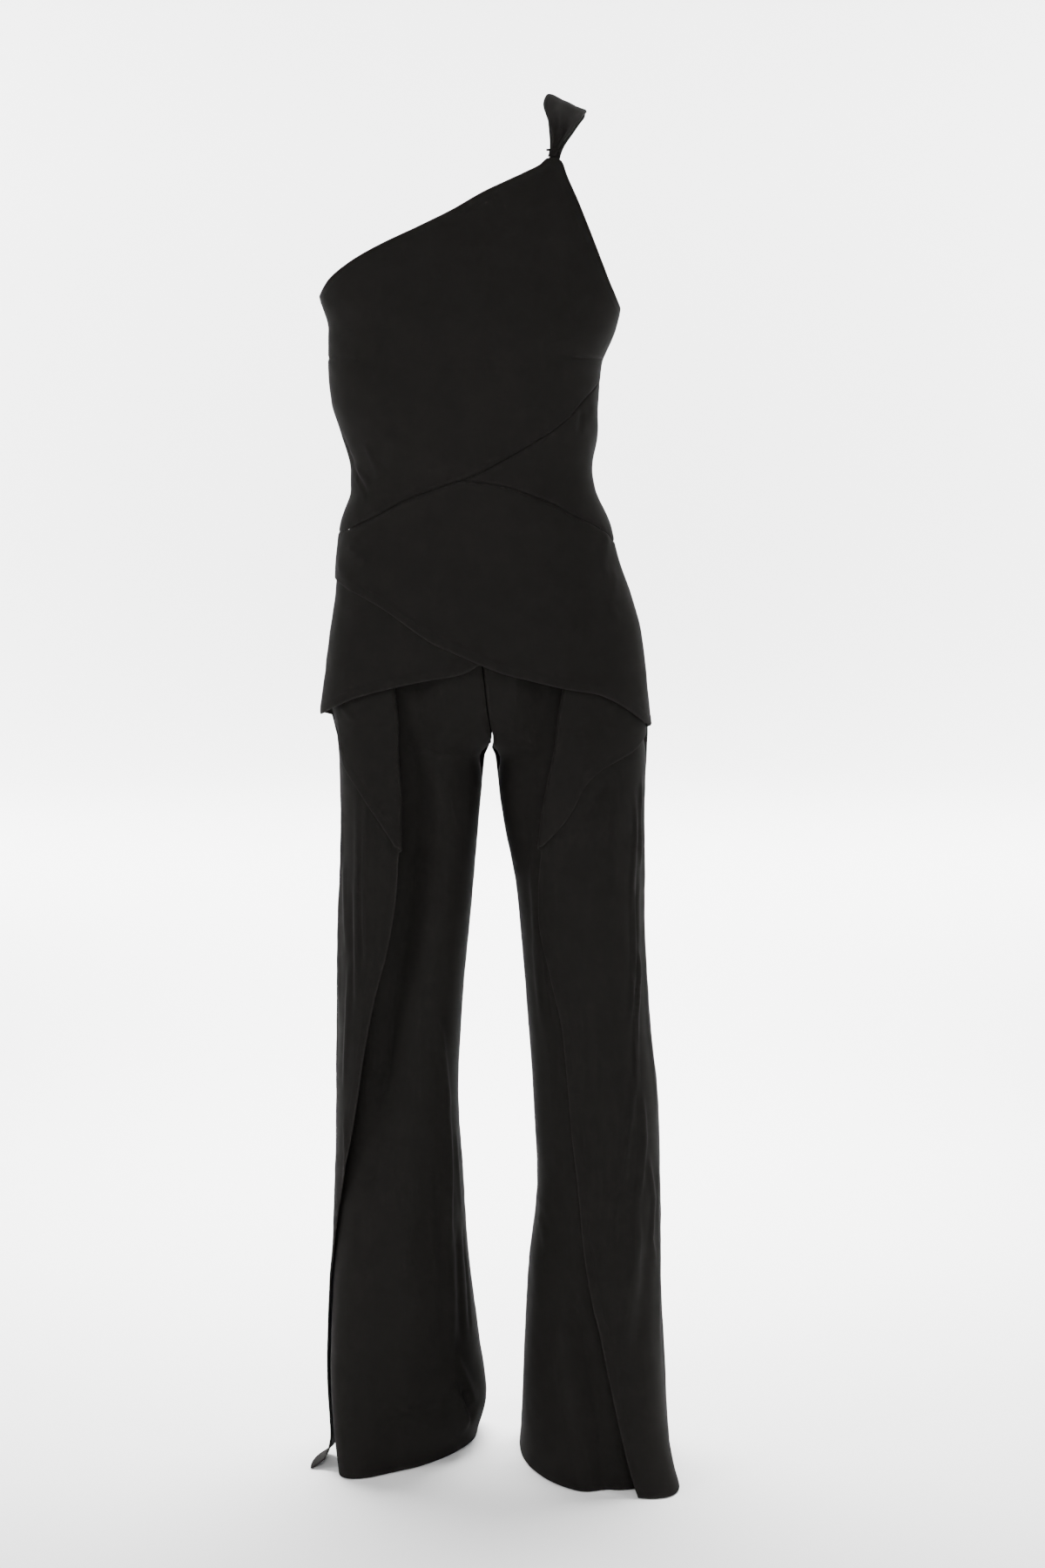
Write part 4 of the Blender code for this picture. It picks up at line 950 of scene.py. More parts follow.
@dataclass
class FallingPanel(Panel):
    """Overskirt panel in three layers: across the front, folded back in, and out to the side."""

    plain_angle: float = -SIDE_EDGE

    def inset(self, layer: int, angle: Array, height: Array) -> Array:
        """Inset of a layer; the plain end of the under panel dives beneath the other panel.

        Args:
            layer: Layer 1, 2 or 3.
            angle: Section angles.
            height: Heights.

        Returns:
            The inset at each place.
        """
        value = LAYER_INSET[self.side](("first", "second", "third")[layer - 1], height)
        if self.side == RIGHT and layer == 1:
            other_fold = Section.of_trunk(LEFT, height).angle_at(INNER_FOLD[LEFT]("x", height))
            deep = ease((-angle - other_fold + DIVE_START) / DIVE_REACH)
            value = mix(value, UNDER_DEPTH("plain", height), deep)
        if layer == 3:
            near = 1.0 - np.abs(angle - FLUTE_ANGLE[self.side]) / FLUTE_REACH[self.side]
            value = value - FLUTE[self.side]("out", height) * ease(near)
            beside = np.abs(angle - THIRD_EDGE[self.side]("angle", height)) / CURL_REACH
            value = value + CURL[self.side]("depth", height) * (1.0 - ease(beside))
        return value

    def inner_line(self, height: Array) -> Array:
        """Line that the third layer starts from: the inner fold, and a fan's edge under it.

        Args:
            height: Heights.

        Returns:
            Its section angle at each height.
        """
        fold = Section.of_leg(self.side, height).angle_at(INNER_FOLD[self.side]("x", height))
        edge, ended = (THIRD_EDGE[self.side](name, height) for name in ("angle", "share"))
        fan = (edge - ended * LEGS[self.side]("side", height)) / (1.0 - ended)
        return np.where(height >= INNER_FOLD_LOW, fold, fan)

    def guide(self, layer: int, share: Array, height: Array) -> Array:
        """Section angle of a column of a layer.

        Args:
            layer: Layer 1, 2 or 3.
            share: Share of the layer's width.
            height: Heights.

        Returns:
            The angle at each place.
        """
        fold, seam = self.inner_line(height), LEGS[self.side]("side", height)
        start, end = ((self.plain_angle, FOLD_ANGLE), (FOLD_ANGLE, fold), (fold, seam))[layer - 1]
        return mix(start, end, share) + 0.0 * height

    def section(self, layer: int, height: Array) -> Section:
        """Section of the body that a layer lies on."""
        return (Section.of_trunk if layer == 1 else Section.of_leg)(self.side, height)

    def layer_point(self, layer: int, share: Array, height: Array) -> tuple[Array, Array, Array]:
        """Plan point of a layer: the x, the y and the section angle."""
        angle = self.guide(layer, share, height)
        return *self.section(layer, height).point(angle, self.inset(layer, angle, height)), angle

    def turn_point(self, layer: int, turned: Array, height: Array) -> tuple[Array, Array, Array]:
        """Plan point on the round fold between a layer and the next.

        Args:
            layer: The layer before the fold.
            turned: How far round the fold, from 0 to 1.
            height: Heights.

        Returns:
            The x, the y and the section angle.
        """
        x0, y0, angle = self.layer_point(layer, 1.0, height)
        x1, y1, _ = self.layer_point(layer + 1, 0.0, height)
        out_x, out_y = (x0 - x1) / 2, (y0 - y1) / 2
        sense = self.side if layer == 1 else -self.side
        cosine, sine = np.cos(math.pi * turned), np.sin(math.pi * turned)
        x = (x0 + x1) / 2 + cosine * out_x - sine * sense * out_y
        y = (y0 + y1) / 2 + cosine * out_y + sine * sense * out_x
        return x, y, angle

    def second_low(self, share: Array) -> Array:
        """Lowest height of the second layer's columns.

        Args:
            share: Shares of the layer's width.

        Returns:
            A height for each column.
        """
        heights = np.linspace(OUTER_FOLD_LOW[self.side] - FOLD_DROP, INNER_FOLD_LOW + FOLD_DROP, DENSE)
        angle = self.section(2, heights).angle_at(SECOND_HEM[self.side]("x", heights))
        start, end = self.guide(2, 0.0, heights), self.guide(2, 1.0, heights)
        shares = np.maximum.accumulate(np.clip((angle - start) / (end - start), 0.0, 1.0))
        pull = ease(np.linspace(0.0, 1.0, DENSE) / HEM_PULL)
        return np.interp(share, mix(np.linspace(0.0, shares[HEM_EVEN], DENSE), shares, pull), heights)

    def third_columns(self) -> tuple[Array, Array]:
        """Columns of the third layer, its free edge evenly stepped.

        Returns:
            Their shares of its width and their lowest heights.
        """
        heights = np.linspace(INNER_FOLD_LOW - FOLD_DROP, 0.0, THIRD_COLUMNS)
        shares = THIRD_EDGE[self.side]("share", heights)
        shares[0] = 0.0
        rest = mix(shares[-1], 1.0, laddered(PLAIN_COLUMNS, PLAIN_WIDTH)[len(RIM_LADDER):, 0])
        low = np.concatenate((heights, np.zeros(len(rest))))
        return np.concatenate((shares, rest)), np.maximum(low, HEM_CLEAR)

    def lie(self) -> Lie:
        """Middle face of the panel, column after column from its plain end.

        Returns:
            The face.
        """
        first = laddered(FIRST_COLUMNS, FIRST_WIDTH)[:-len(RIM_LADDER) + 1, 0]
        second = np.linspace(0.0, 1.0, SECOND_COLUMNS)
        third, third_low = self.third_columns()
        turned = np.linspace(0.0, 1.0, FOLD_COLUMNS + 2)[1:-1]
        outer, inner = OUTER_FOLD_LOW[self.side], INNER_FOLD_LOW
        angle = mix(self.plain_angle, FOLD_ANGLE, first)
        first_low = edge_height(FIRST_HEM[self.side], angle, HEM_LEVEL, self.side)
        first_low[-1] = outer + FOLD_DROP
        parts = ((1, first, None, first_low),
                 (1, np.ones(FOLD_COLUMNS), turned, outer + FOLD_DROP * (1 - 2 * turned)),
                 (2, second, None, self.second_low(second)),
                 (2, np.ones(FOLD_COLUMNS), turned, inner + FOLD_DROP * (1 - 2 * turned)),
                 (3, third, None, third_low))
        pieces = []
        for layer, share, turn, low in parts:
            reach = self.side * self.guide(layer, share, np.full(len(share), TOP_LEVEL))
            top = waist_height(np.clip(reach, -STEEPEST, STEEPEST)) - SEAM / 2
            height = mix(top, low, laddered(self.rows, top - low))
            if turn is None:
                x, y, angle = self.layer_point(layer, share, height)
            else:
                x, y, angle = self.turn_point(layer, turn, height)
            pieces.append((x, y, height, angle))
        x, y, height, angle = (np.concatenate(part, axis=1) for part in zip(*pieces))
        return self.on_body(Section.of_leg(self.side, height), angle, (x, y), height)


# ---------------------------------------------------------------- trousers
@dataclass
class TrouserPanel(Panel):
    """Front or back of one leg, from the waist seam to the hem."""

    behind: bool = False

    def inner_angle(self, height: Array) -> Array:
        """Inner edge of the panel: the middle seam, then the inseam.

        Args:
            height: Heights.

        Returns:
            Its section angle, as on a front.
        """
        section = Section.of_leg(self.side, height)
        inset = 0.0 if self.behind else TROUSER_INSET[self.side]("bare", height)
        middle = self.side * MIDDLE("x", height)
        angle = section.angle_at(middle, inset)
        return section.angle_at(middle + SEAM / 2 + WALL / 2 * np.abs(np.sin(np.radians(angle))), inset)

    def angle_of(self, share: Array, height: Array) -> Array:
        """Place of the columns round the leg.

        Args:
            share: Shares of the panel's width.
            height: Heights.

        Returns:
            Section angles.
        """
        share = mix(TROUSER_EDGE, 1.0 - TROUSER_EDGE, share)
        inner, seam = self.inner_angle(height), LEGS[self.side]("side", height)
        return mix(seam, 180.0 - inner, share) if self.behind else mix(inner, seam, share)

    def top_of(self, share: Array) -> Array:
        """Top edge of the panel.

        Args:
            share: Shares of its width.

        Returns:
            A height for each column.
        """
        angle = self.angle_of(share, np.full(share.shape, TOP_LEVEL))
        if self.behind:
            x, _ = Section.of_trunk(LEFT, np.full(share.shape, TOP_LEVEL)).point(self.side * angle, 0.0)
            return BACK_WAIST("height", x) - SEAM
        return waist_height(self.side * np.minimum(angle, STEEPEST - 1.0)) + TUCK

    def inset(self, angle: Array, height: Array) -> Array:
        """Inset of the trousers: more under the overskirt's folds.

        Args:
            angle: Section angles.
            height: Heights.

        Returns:
            The inset at each place.
        """
        section = Section.of_leg(self.side, height)
        bare, covered = (TROUSER_INSET[self.side](name, height) for name in ("bare", "covered"))
        if self.behind:
            return covered * (1.0 - ease((angle - LEGS[self.side]("side", height)) / BACK_EASE))
        low_edge, _ = section.point(THIRD_EDGE[self.side]("angle", height), 0.0)
        edge = np.where(height > INNER_FOLD_LOW, INNER_FOLD[self.side]("x", height), self.side * low_edge)
        x, _ = section.point(angle, 0.0)
        beyond = self.side * x - edge
        inner = ease((angle + 90.0) / INSEAM_EASE)
        deep = ease((beyond + COVER_START) / COVER_REACH) * inner
        bare = bare * mix(1.0, inner, ease((CROTCH_LOW - height) / PARTING))
        if self.side == LEFT:
            near = ease((INNER_FOLD_LOW - height) / HUG_START) * ease((height - HUG_LOW) / HUG_END)
            near = near * (1.0 - ease((beyond - HUG_REACH[0]) / (HUG_REACH[1] - HUG_REACH[0])))
            return mix(bare, covered * mix(1.0, HUG, near), deep)
        away = (angle - VALLEY("angle", height)) / VALLEY_SPREAD
        return mix(bare, covered, deep) + VALLEY("depth", height) * np.exp(-away**2)

    def lie(self) -> Lie:
        """Middle face of the panel.

        Returns:
            The face.
        """
        share = laddered(self.columns, TROUSER_WIDTH)[:, 0]
        level = mix(TOP_LEVEL, HEM_CLEAR, laddered(self.rows, TOP_LEVEL))
        slope = 1.0 - ease((TOP_LEVEL - level) / TOP_REACH)
        height = level + (self.top_of(share) - TOP_LEVEL) * slope
        angle = self.angle_of(np.broadcast_to(share, height.shape), height)
        section = Section.of_leg(self.side, height)
        return self.on_body(section, angle, section.point(angle, self.inset(angle, height)), height)


# ---------------------------------------------------------------- strap
STRAP_WIDTH = 0.034              # its mean width as worn
STRAP_PROBE = 0.01               # share of its length to both sides between which its slope is read


@dataclass
class Strap(Panel):
    """Broad over the shoulder, gathered to a narrow neck at the front corner."""

    def lie(self) -> Lie:
        """Middle face, across from the neck side to the arm side.

        Returns:
            The face.
        """
        down = laddered(self.rows, self.flat[0])
        across = mix(-1.0, 1.0, laddered(self.columns, STRAP_WIDTH)[:, 0])[None, :]
        along = np.broadcast_to(down, (self.rows, self.columns))
        out = across * STRAP("half_width", along)
        lift = STRAP("gather", along) * np.cos(2 * math.pi * across)
        rise, run = (STRAP(name, along + STRAP_PROBE) - STRAP(name, along - STRAP_PROBE) for name in "zy")
        length = np.hypot(rise, run)
        up, back = run / length, -rise / length
        points = np.stack((STRAP("x", along) + out, STRAP("y", along) + lift * back,
                           STRAP("z", along) + lift * up - out * SHOULDER_SLOPE * up), axis=-1)
        facing = np.stack((SHOULDER_SLOPE * up, back, up), axis=-1)
        facing /= np.linalg.norm(facing, axis=-1, keepdims=True)
        return Lie(points, across * np.ones_like(along), along, facing, points)


# ---------------------------------------------------------------- shader maths
class Value:
    """A shader socket that is worked with like a number."""

    def __init__(self, tree: "Shader", socket: bpy.types.NodeSocket) -> None:
        """Wrap a socket of a shader."""
        self.tree, self.socket = tree, socket

    def math(self, operation: str, *values: "Value | float") -> "Value":
        """Result of a Math node with these inputs."""
        node = self.tree.node("ShaderNodeMath", {"operation": operation}, dict(enumerate(values)))
        return Value(self.tree, node.outputs[0])

    def __add__(self, other: "Value | float") -> "Value":
        """Sum."""
        return self.math("ADD", self, other)

    def __sub__(self, other: "Value | float") -> "Value":
        """Difference."""
        return self.math("SUBTRACT", self, other)

    def __rsub__(self, other: float) -> "Value":
        """Difference from a number."""
        return self.math("SUBTRACT", other, self)

    def __mul__(self, other: "Value | float") -> "Value":
        """Product."""
        return self.math("MULTIPLY", self, other)

    def __pow__(self, other: "Value | float") -> "Value":
        """Power."""
        return self.math("POWER", self, other)

    __radd__ = __add__
    __rmul__ = __mul__


class Shader:
    """Node tree of one material, with a Principled shader."""

    def __init__(self, name: str) -> None:
        """Make an empty material.

        Args:
            name: The material's name.
        """
        self.material = bpy.data.materials.new(name)
        self.material.use_nodes = True
        self.nodes = self.material.node_tree.nodes
        self.links = self.material.node_tree.links
        self.surface = self.nodes["Principled BSDF"]

    def node(self, kind: str, settings: dict | None = None, inputs: dict | None = None) -> bpy.types.Node:
        """Add a node.

        Args:
            kind: Its type.
            settings: Its properties, set first.
            inputs: Numbers, colours or links for its sockets, by name or place.

        Returns:
            The node.
        """
        made = self.nodes.new(kind)
        for name, value in (settings or {}).items():
            setattr(made, name, value)
        for name, value in (inputs or {}).items():
            self.feed(made.inputs[name], value)
        return made

    def feed(self, socket: bpy.types.NodeSocket, value: object) -> None:
        """Set or link a socket.

        Args:
            socket: The socket.
            value: A number, a colour, a value or another socket.
        """
        value = getattr(value, "socket", value)
        if isinstance(value, bpy.types.NodeSocket):
            self.links.new(value, socket)
        else:
            socket.default_value = value

    def places(self, scale: Triple = (1.0, 1.0, 1.0)) -> bpy.types.NodeSocket:
        """Object coordinates in metres, stretched by a scale."""
        where = self.node("ShaderNodeTexCoord").outputs["Object"]
        return self.node("ShaderNodeMapping", {}, {"Vector": where, "Scale": scale}).outputs[0]

    def noise(self, scale: float, detail: float, stretch: Triple = (1.0, 1.0, 1.0)) -> Value:
        """Noise between 0 and 1, its scale in bumps in a metre and its detail in octaves."""
        inputs = {"Vector": self.places(stretch), "Scale": scale, "Detail": detail, "Roughness": 0.55}
        return Value(self, self.node("ShaderNodeTexNoise", {}, inputs).outputs["Fac"])

    def mix_colour(self, share: Value | float, low: object, high: object) -> bpy.types.NodeSocket:
        """Blend of two colours, each three numbers or a socket."""
        low, high = ((*end, 1.0) if isinstance(end, tuple) else end for end in (low, high))
        return self.node("ShaderNodeMix", {"data_type": "RGBA"}, {0: share, 6: low, 7: high}).outputs[2]

    def bump(self, height: Value, distance: float, strength: float,
             below: bpy.types.NodeSocket | None = None) -> bpy.types.NodeSocket:
        """Bumped normal.

        Args:
            height: Height from 0 to 1.
            distance: What 1 stands for, in metres.
            strength: Share of the bump that shows.
            below: Another bump that this one lies on.

        Returns:
            The normal.
        """
        inputs = {"Height": height, "Distance": distance, "Strength": strength}
        if below is not None:
            inputs["Normal"] = below
        return self.node("ShaderNodeBump", {}, inputs).outputs["Normal"]

    def set(self, **values: object) -> None:
        """Set or link sockets of the Principled shader, spaces in their names as underscores."""
        for name, value in values.items():
            self.feed(self.surface.inputs[name.replace("_", " ")], value)


@dataclass(frozen=True)
class Crepe:
    """Black crepe: a pebbled, matt weave with a faint sheen, and a painted highlight that makes its turned
    edges a little paler.
    """

    dark: Triple = (0.0065, 0.0060, 0.0056)
    pale: Triple = (0.0105, 0.0097, 0.0090)
    # colour of the painted highlight on turned edges
    edge_highlight: Triple = (0.016, 0.015, 0.014)
    grain: float = 1500.0        # pebbles in a metre
    grain_height: float = 0.00012
    cross: float = 420.0         # drawn threads in a metre
    cloud: float = 26.0          # soft patches in a metre
    cloud_height: float = 0.0009
    mottle: Triple = (0.6, 0.25, 0.15)     # shares of patches, pebbles and threads in its shade
    pebbles: float = 0.65        # share of the pebbles in its relief
    edge_highlight_share: float = 0.7      # how far the painted highlight turns an edge pale
    sheen: float = 0.006
    rough: tuple[float, float] = (0.80, 0.95)

    def material(self) -> bpy.types.Material:
        """Make the material.

        Returns:
            The material.
        """
        made = Shader("black_crepe")
        pebble = made.noise(self.grain, 2.0)
        threads = made.noise(self.cross, 3.0, (1.0, 1.0, 0.22))
        cloud = made.noise(self.cloud, 3.0)
        # painted highlight: turned edges lighten towards a paler colour, as where they catch the light
        edge = Value(made, made.node("ShaderNodeAttribute", {"attribute_name": "edge"}).outputs["Fac"])
        shade = cloud * self.mottle[0] + pebble * self.mottle[1] + threads * self.mottle[2]
        cloth = made.mix_colour(shade, self.dark, self.pale)
        soft = made.bump(cloud, self.cloud_height, 0.5)
        relief = pebble * self.pebbles + threads * (1.0 - self.pebbles)
        low, high = self.rough
        made.set(Base_Color=made.mix_colour(edge * self.edge_highlight_share, cloth, self.edge_highlight),
                 Roughness=low + (high - low) * (pebble * 0.5 + cloud * 0.5),
                 Normal=made.bump(relief, self.grain_height, 0.8, soft),
                 Metallic=0.0, Specular_IOR_Level=0.03, Sheen_Weight=self.sheen,
                 Sheen_Roughness=0.45, Sheen_Tint=(1.0, 0.96, 0.93, 1.0))
        return made.material


@dataclass(frozen=True)
class ZipCloth:
    """Black woven zip tape: a fine herringbone."""

    dark: Triple = (0.010, 0.010, 0.011)
    pale: Triple = (0.020, 0.020, 0.022)
    ribs: float = 150.0          # in a metre
    fluff: float = 1800.0        # fibres in a metre

    def material(self) -> bpy.types.Material:
        """Make the material.

        Returns:
            The material.
        """
        made = Shader("black_zip_tape")
        wave = made.node("ShaderNodeTexWave", {"bands_direction": "DIAGONAL"}, {
            "Vector": made.places(), "Scale": self.ribs, "Distortion": 0.6})
        rib = Value(made, wave.outputs["Fac"])
        fluff = made.noise(self.fluff, 2.0)
        made.set(Base_Color=made.mix_colour(rib * 0.7 + fluff * 0.3, self.dark, self.pale),
                 Roughness=0.72 + 0.12 * fluff, Normal=made.bump(rib, 0.0001, 0.7),
                 Specular_IOR_Level=0.3, Sheen_Weight=0.1)
        return made.material


@dataclass(frozen=True)
class Lacquer:
    """Black lacquer on the zip's metal, rubbed in scattered places."""

    colour: Triple = (0.012, 0.012, 0.013)
    rubbed: Triple = (0.026, 0.026, 0.027)
    wear: float = 700.0          # rubbed places in a metre
    haze: float = 1600.0         # duller places in a metre

    def material(self) -> bpy.types.Material:
        """Make the material.

        Returns:
            The material.
        """
        made = Shader("black_lacquered_metal")
        wear = made.noise(self.wear, 4.0) ** 3.0
        made.set(Base_Color=made.mix_colour(wear, self.colour, self.rubbed), Metallic=0.3,
                 Roughness=0.42 + 0.2 * made.noise(self.haze, 2.0), Normal=made.bump(wear, 0.00005, 0.4),
                 Specular_IOR_Level=0.3)
        return made.material


# ---------------------------------------------------------------- small parts
LOOP_ALONG = 0.055               # place of the little band round the strap's neck
LOOP_HALF = (0.0077, 0.0042)     # half of its size across and in depth
BAND_THICK, BAND_TALL = 0.00055, 0.00105
BAND_SIDES, BAND_ENDS = 0.6, 0.5     # powers that flatten the band's faces and its edges
LOOP_STEPS, BAND_STEPS = 96, 20
TAPE_TOP, TAPE_END, TAPE_HALF = 1.305, 0.885, 0.012
TAPE_WALL, TAPE_CLEAR = 0.0008, 0.0016
TOOTH_PITCH = 0.0015
TOOTH_SIZE = (0.0030, 0.0008, 0.0009)
TOOTH_LEAN, TOOTH_EDGE = 0.0004, 0.0002      # sideways shift of every other tooth, and its bevel
TEETH_END = 0.004                # the teeth end this far from the tape's ends
METAL_EDGE = 0.0002              # round of the slider's and the pull's edges


@dataclass
class LoopBand:
    """Little band of crepe round the strap's neck."""

    made: bpy.types.Object | None = field(default=None, init=False)

    def build(self) -> None:
        """Make a flat band that runs round."""
        turn = 2 * math.pi * np.arange(LOOP_STEPS)[:, None] / LOOP_STEPS
        round_band = 2 * math.pi * np.arange(BAND_STEPS)[None, :] / BAND_STEPS
        thick = BAND_THICK * power(np.cos(round_band), BAND_SIDES)
        tall = BAND_TALL * power(np.sin(round_band), BAND_ENDS)
        wide, deep = (half - BAND_THICK for half in LOOP_HALF)
        centre = [float(STRAP(name, LOOP_ALONG)) for name in "xyz"]
        corners = np.stack(((wide + thick) * np.cos(turn), (deep + thick) * np.sin(turn),
                            tall + 0.0 * turn), axis=-1) + centre
        grid = np.arange(LOOP_STEPS * BAND_STEPS).reshape(LOOP_STEPS, BAND_STEPS)
        nearby = [np.roll(grid, step, (0, 1)) for step in ((0, 0), (-1, 0), (-1, -1), (0, -1))]
        self.made = smooth_object("strap_band", corners, np.stack(nearby, axis=-1))

    def dress(self, material: bpy.types.Material) -> None:
        """Give the band its finish."""
        dress(self.made, material, "strap_loop")


@dataclass
class ZipTape(Panel):
    """Tape of the concealed zip, inside the middle seam of the back."""

    def lie(self) -> Lie:
        """Middle face of the tape.

        Returns:
            The face.
        """
        share = laddered(self.columns, 2 * TAPE_HALF)[:, 0]
        height = mix(TAPE_TOP, TAPE_END, laddered(self.rows, TAPE_TOP - TAPE_END))
        height = np.broadcast_to(height, (self.rows, self.columns))
        x, y = Section.of_trunk(LEFT, height).point(np.full(height.shape, 180.0), WALL + TAPE_CLEAR)
        points = np.stack((x + mix(-TAPE_HALF, TAPE_HALF, share), y, height), axis=-1)
        out = np.broadcast_to((0.0, 1.0, 0.0), points.shape)
        return Lie(points, np.full(height.shape, 180.0), height, out, points)

    def press(self, lie: Lie) -> Array:
        """The tape stays as flat as the back."""
        return lie.points


@dataclass
class ZipTeeth:
    """Closed row of teeth on the inside of the tape."""

    made: bpy.types.Object | None = field(default=None, init=False)

    def build(self) -> None:
        """Set one small block above the other."""
        heights = np.arange(TAPE_END + TEETH_END, TAPE_TOP - TEETH_END, TOOTH_PITCH)
        x, y = Section.of_trunk(LEFT, heights).point(np.full(heights.shape, 180.0), WALL + TAPE_CLEAR)
        y = y - TAPE_WALL / 2 - TOOTH_SIZE[1] / 2
        teeth = bmesh.new()
        for number, middle in enumerate(zip(x, y, heights)):
            made = bmesh.ops.create_cube(teeth, size=1.0)["verts"]
            bmesh.ops.scale(teeth, verts=made, vec=TOOTH_SIZE)
            lean = Vector((TOOTH_LEAN if number % 2 else -TOOTH_LEAN, 0.0, 0.0))
            bmesh.ops.translate(teeth, verts=made, vec=Vector(middle) + lean - Vector(ORIGIN))
        mesh = bpy.data.meshes.new("zip_teeth")
        bmesh.ops.bevel(teeth, geom=teeth.edges[:], offset=TOOTH_EDGE, segments=1, affect="EDGES")
        teeth.to_mesh(mesh)
        teeth.free()
        self.made = link("zip_teeth", mesh)

    def dress(self, material: bpy.types.Material) -> None:
        """Give the teeth their finish."""
        dress(self.made, material)


@dataclass
class ZipMetal:
    """Slider or pull: the frame's own solid with rounded edges."""

    node: str

    def dress(self, material: bpy.types.Material) -> None:
        """Round the edges and give the metal its finish.

        Args:
            material: Its material.
        """
        solid = bpy.data.objects[self.node]
        bevel = solid.modifiers.new("rounded edges", "BEVEL")
        bevel.width = METAL_EDGE
        bevel.segments = 3
        bevel.limit_method = "ANGLE"
        solid.data.materials.clear()
        solid.data.materials.append(material)


# ---------------------------------------------------------------- studio
WALL_AWAY, WALL_TOP, BEND = 6.2, 5.0, 1.6     # round wall: distance, height and bend at its foot
BEND_STEPS, ROUND_STEPS = 24, 128
FLOOR_DROP = 0.0005              # the floor lies this far under the hems
CAMERA_PLACE, CAMERA_TILT, LENS, SENSOR = (-0.047, -3.15, -0.1792), 9.3, 70.08, 36.0


@dataclass(frozen=True)
class Softbox:
    """Square lamp that points at the garment."""

    name: str
    place: Triple
    size: tuple[float, float]
    power: float
    aim: Triple
    beam: float = 180.0          # degrees that the light spreads over

    def build(self) -> None:
        """Put the lamp up."""
        lamp = bpy.data.lights.new(self.name, "AREA")
        lamp.shape = "RECTANGLE"
        lamp.size, lamp.size_y = self.size
        lamp.energy = self.power
        lamp.spread = math.radians(self.beam)
        made = link(self.name, lamp)
        made.location = self.place
        made.rotation_euler = (Vector(self.aim) - Vector(self.place)).to_track_quat("-Z", "Y").to_euler()
        made.visible_camera = False


@dataclass(frozen=True)
class Studio:
    """Pale floor, pale surroundings, side lamps and the camera."""

    softboxes: tuple[Softbox, ...] = (
        Softbox("softbox_right_of_wearer", (-2.1, -1.2, 0.45), (0.5, 0.9), 38.0, (-0.087, 0.0, -0.55)),
        Softbox("softbox_left_of_wearer", (2.0, -1.2, 0.45), (0.5, 0.9), 24.0, (-0.087, 0.0, -0.55)),
        Softbox("softbox_top", (0.0, -1.9, 0.75), (1.2, 0.8), 6.0, (-0.087, 0.0, -0.35)),
        Softbox("softbox_hip", (0.0, -1.7, -0.35), (1.0, 0.4), 17.0, (-0.087, 0.0, -0.45)),
        Softbox("floor_lamp", (-0.05, 0.9, 1.5), (2.6, 1.0), 120.0, (-0.05, 0.9, -1.4), 72.0),
        Softbox("far_floor_lamp", (0.0, 3.0, 1.6), (3.0, 1.2), 150.0, (0.0, 3.0, -1.4), 90.0),
        Softbox("backdrop_lamp_right", (-2.6, 3.2, 0.5), (1.0, 1.8), 400.0, (-0.3, 6.0, -0.4)),
        Softbox("backdrop_lamp_left", (2.6, 3.2, 0.5), (1.0, 1.8), 400.0, (0.3, 6.0, -0.4)))
    world: float = 0.03

    def build(self) -> None:
        """Set the studio up."""
        self.floor()
        self.surroundings()
        for box in self.softboxes:
            box.build()
        self.camera()

    def floor(self) -> None:
        """Round pale floor that curves up into a wall all round."""
        turn = np.linspace(0.0, math.pi / 2, BEND_STEPS)
        away = np.concatenate(((0.001,), WALL_AWAY - BEND + BEND * np.sin(turn), (WALL_AWAY,)))
        up = np.concatenate(((0.0,), BEND - BEND * np.cos(turn), (WALL_TOP,)))
        angle = np.linspace(0.0, 2 * math.pi, ROUND_STEPS, endpoint=False)[:, None]
        base = -ORIGIN[2] - FLOOR_DROP
        corners = np.stack((away * np.cos(angle), away * np.sin(angle), up + base + 0.0 * angle), axis=-1)
        grid = np.arange(angle.size * away.size).reshape(angle.size, away.size)
        ahead = np.roll(grid, -1, axis=0)
        faces = np.stack((grid[:, :-1], ahead[:, :-1], ahead[:, 1:], grid[:, 1:]), axis=-1)
        made = smooth_object("studio_floor", corners, faces[..., ::-1], closed=False)
        paper = Shader("white_paper")
        paper.set(Base_Color=(0.86, 0.86, 0.86, 1.0), Roughness=0.85, Specular_IOR_Level=0.1)
        made.data.materials.append(paper.material)

    def surroundings(self) -> None:
        """Even white light from all round."""
        world = bpy.data.worlds.new("studio")
        world.use_nodes = True
        lamp = world.node_tree.nodes["Background"]
        lamp.inputs["Color"].default_value = (1.0, 1.0, 1.0, 1.0)
        lamp.inputs["Strength"].default_value = self.world
        bpy.context.scene.world = world

    def camera(self) -> None:
        """Camera in front of the garment, tilted a little down."""
        lens = bpy.data.cameras.new("camera")
        lens.sensor_fit, lens.sensor_width, lens.lens = "AUTO", SENSOR, LENS
        made = link("camera", lens)
        made.location = CAMERA_PLACE
        made.rotation_euler = (math.radians(90.0 - CAMERA_TILT), 0.0, 0.0)
        bpy.context.scene.camera = made


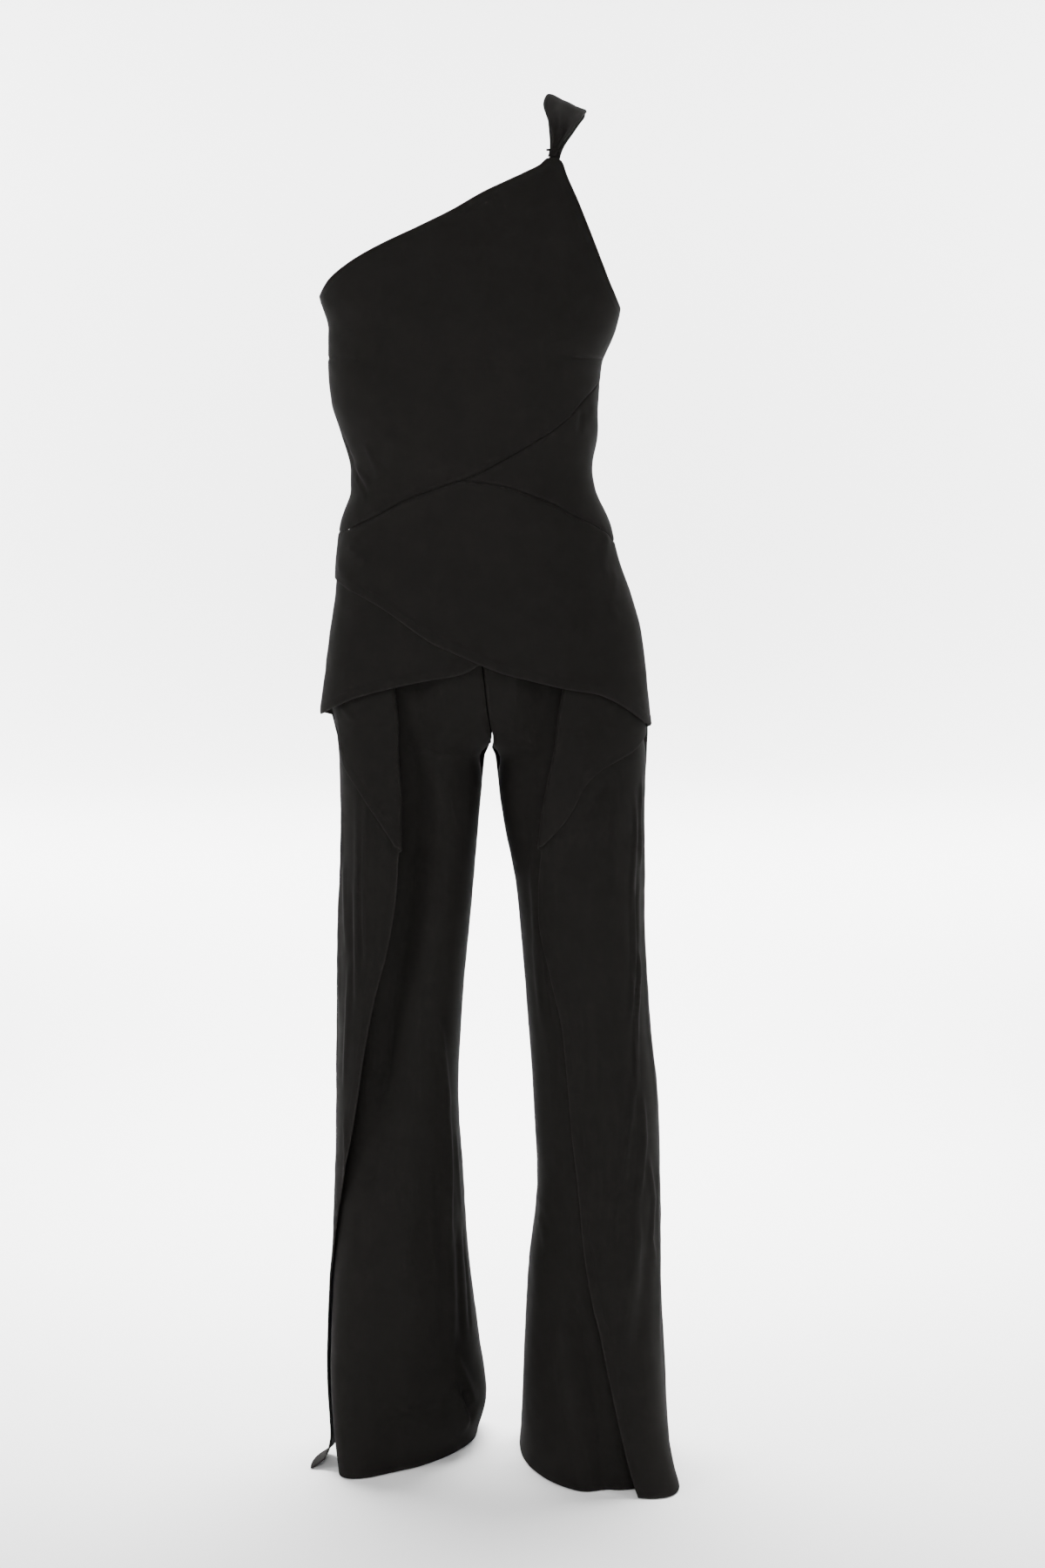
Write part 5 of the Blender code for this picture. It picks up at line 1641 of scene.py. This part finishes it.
# ---------------------------------------------------------------- the garment
@dataclass
class Garment:
    """All the pieces of the jumpsuit."""

    def panels(self) -> list[Panel]:
        """Crepe panels, from the top down.

        Returns:
            The panels, not built yet.
        """
        top, bottom, start, end = Edge
        back = {"columns": 100, "rows": 120, "seams": (bottom, start, end), "creases": TRUNK_CREASES}
        overskirt = {"rows": 150, "seams": (top,)}
        trousers = {"columns": 112, "rows": 166, "seams": (top, start, end), "creases": TROUSER_CREASES}
        behind = {"behind": True, **trousers}
        midriff_start = float(Section.of_trunk(LEFT, MIDRIFF_START_LEVEL).angle_at(MIDRIFF_START_X))
        return [
            FrontPanel("front_bodice", "bodice_front", (0.545, 0.33), 0.095, 190, 210,
                       seams=(bottom, start, end), creases=TRUNK_CREASES + DARTS),
            FrontPanel("front_midriff", "bodice_midriff", (0.225, 0.17), 0.0158, 90, 60,
                       upper=BODICE_SEAM, lower=WRAP_SEAM, upper_start=WAIST_LEVEL,
                       upper_shift=-SEAM / 2, first=midriff_start, seams=tuple(Edge),
                       creases=TRUNK_CREASES),
            BackPanel("left_back", "bodice_back_left", (0.29, 0.375), 0.0592, **back),
            BackPanel("right_back", "bodice_back_right", (0.235, 0.335), 0.0521,
                      first=-MIDDLE_EDGE, last=-SIDE_EDGE, **back),
            Strap("shoulder_strap", "strap", (0.26, 0.048), 0.0085, 60, 150, wall=STRAP_WALL,
                  held=Held.GATHERED, seams=(top, bottom)),
            FallingPanel("upper_overskirt", "overskirt_over", (0.68, 1.03), 0.232, side=LEFT,
                         creases=TRUNK_CREASES + LEFT_LAYER_CREASES, **overskirt),
            FallingPanel("lower_overskirt", "overskirt_under", (0.53, 1.03), 0.167, side=RIGHT,
                         creases=TRUNK_CREASES + RIGHT_LAYER_CREASES, plain_angle=-89.0, **overskirt),
            TrouserPanel("left_trouser_front", "trouser_front_left", (0.315, 1.13), 0.229, side=LEFT,
                         **trousers),
            TrouserPanel("right_trouser_front", "trouser_front_right", (0.285, 1.13), 0.241, side=RIGHT,
                         **trousers),
            TrouserPanel("left_trouser_back", "trouser_back_left", (0.31, 1.09), 0.239, side=LEFT,
                         **behind),
            TrouserPanel("right_trouser_back", "trouser_back_right", (0.305, 1.09), 0.234, side=RIGHT,
                         **behind)]

    def build(self) -> None:
        """Build and dress every piece."""
        crepe, tape, metal = Crepe().material(), ZipCloth().material(), Lacquer().material()
        for panel in self.panels():
            made = panel.build()
            panel.dress(crepe)
            log.info("%s: %d faces", panel.name, len(made.data.polygons))
        band = LoopBand()
        band.build()
        band.dress(crepe)
        strip = ZipTape("zip_tape_strip", "zip_tape", (0.024, 0.428), 0.0102, 24, 200, wall=TAPE_WALL)
        strip.build()
        strip.dress(tape, "zip_tape_cloth")
        teeth = ZipTeeth()
        teeth.build()
        teeth.dress(metal)
        for node in ("zip_slider", "zip_pull"):
            ZipMetal(node).dress(metal)
        log.info("band, zip tape, teeth, slider and pull are on")


def main() -> None:
    """Build the garment and the studio, and hand them to the frame."""
    logging.basicConfig(level=logging.INFO, format="%(name)s: %(message)s")
    Garment().build()
    Studio().build()


if __name__ == "__main__":
    main()
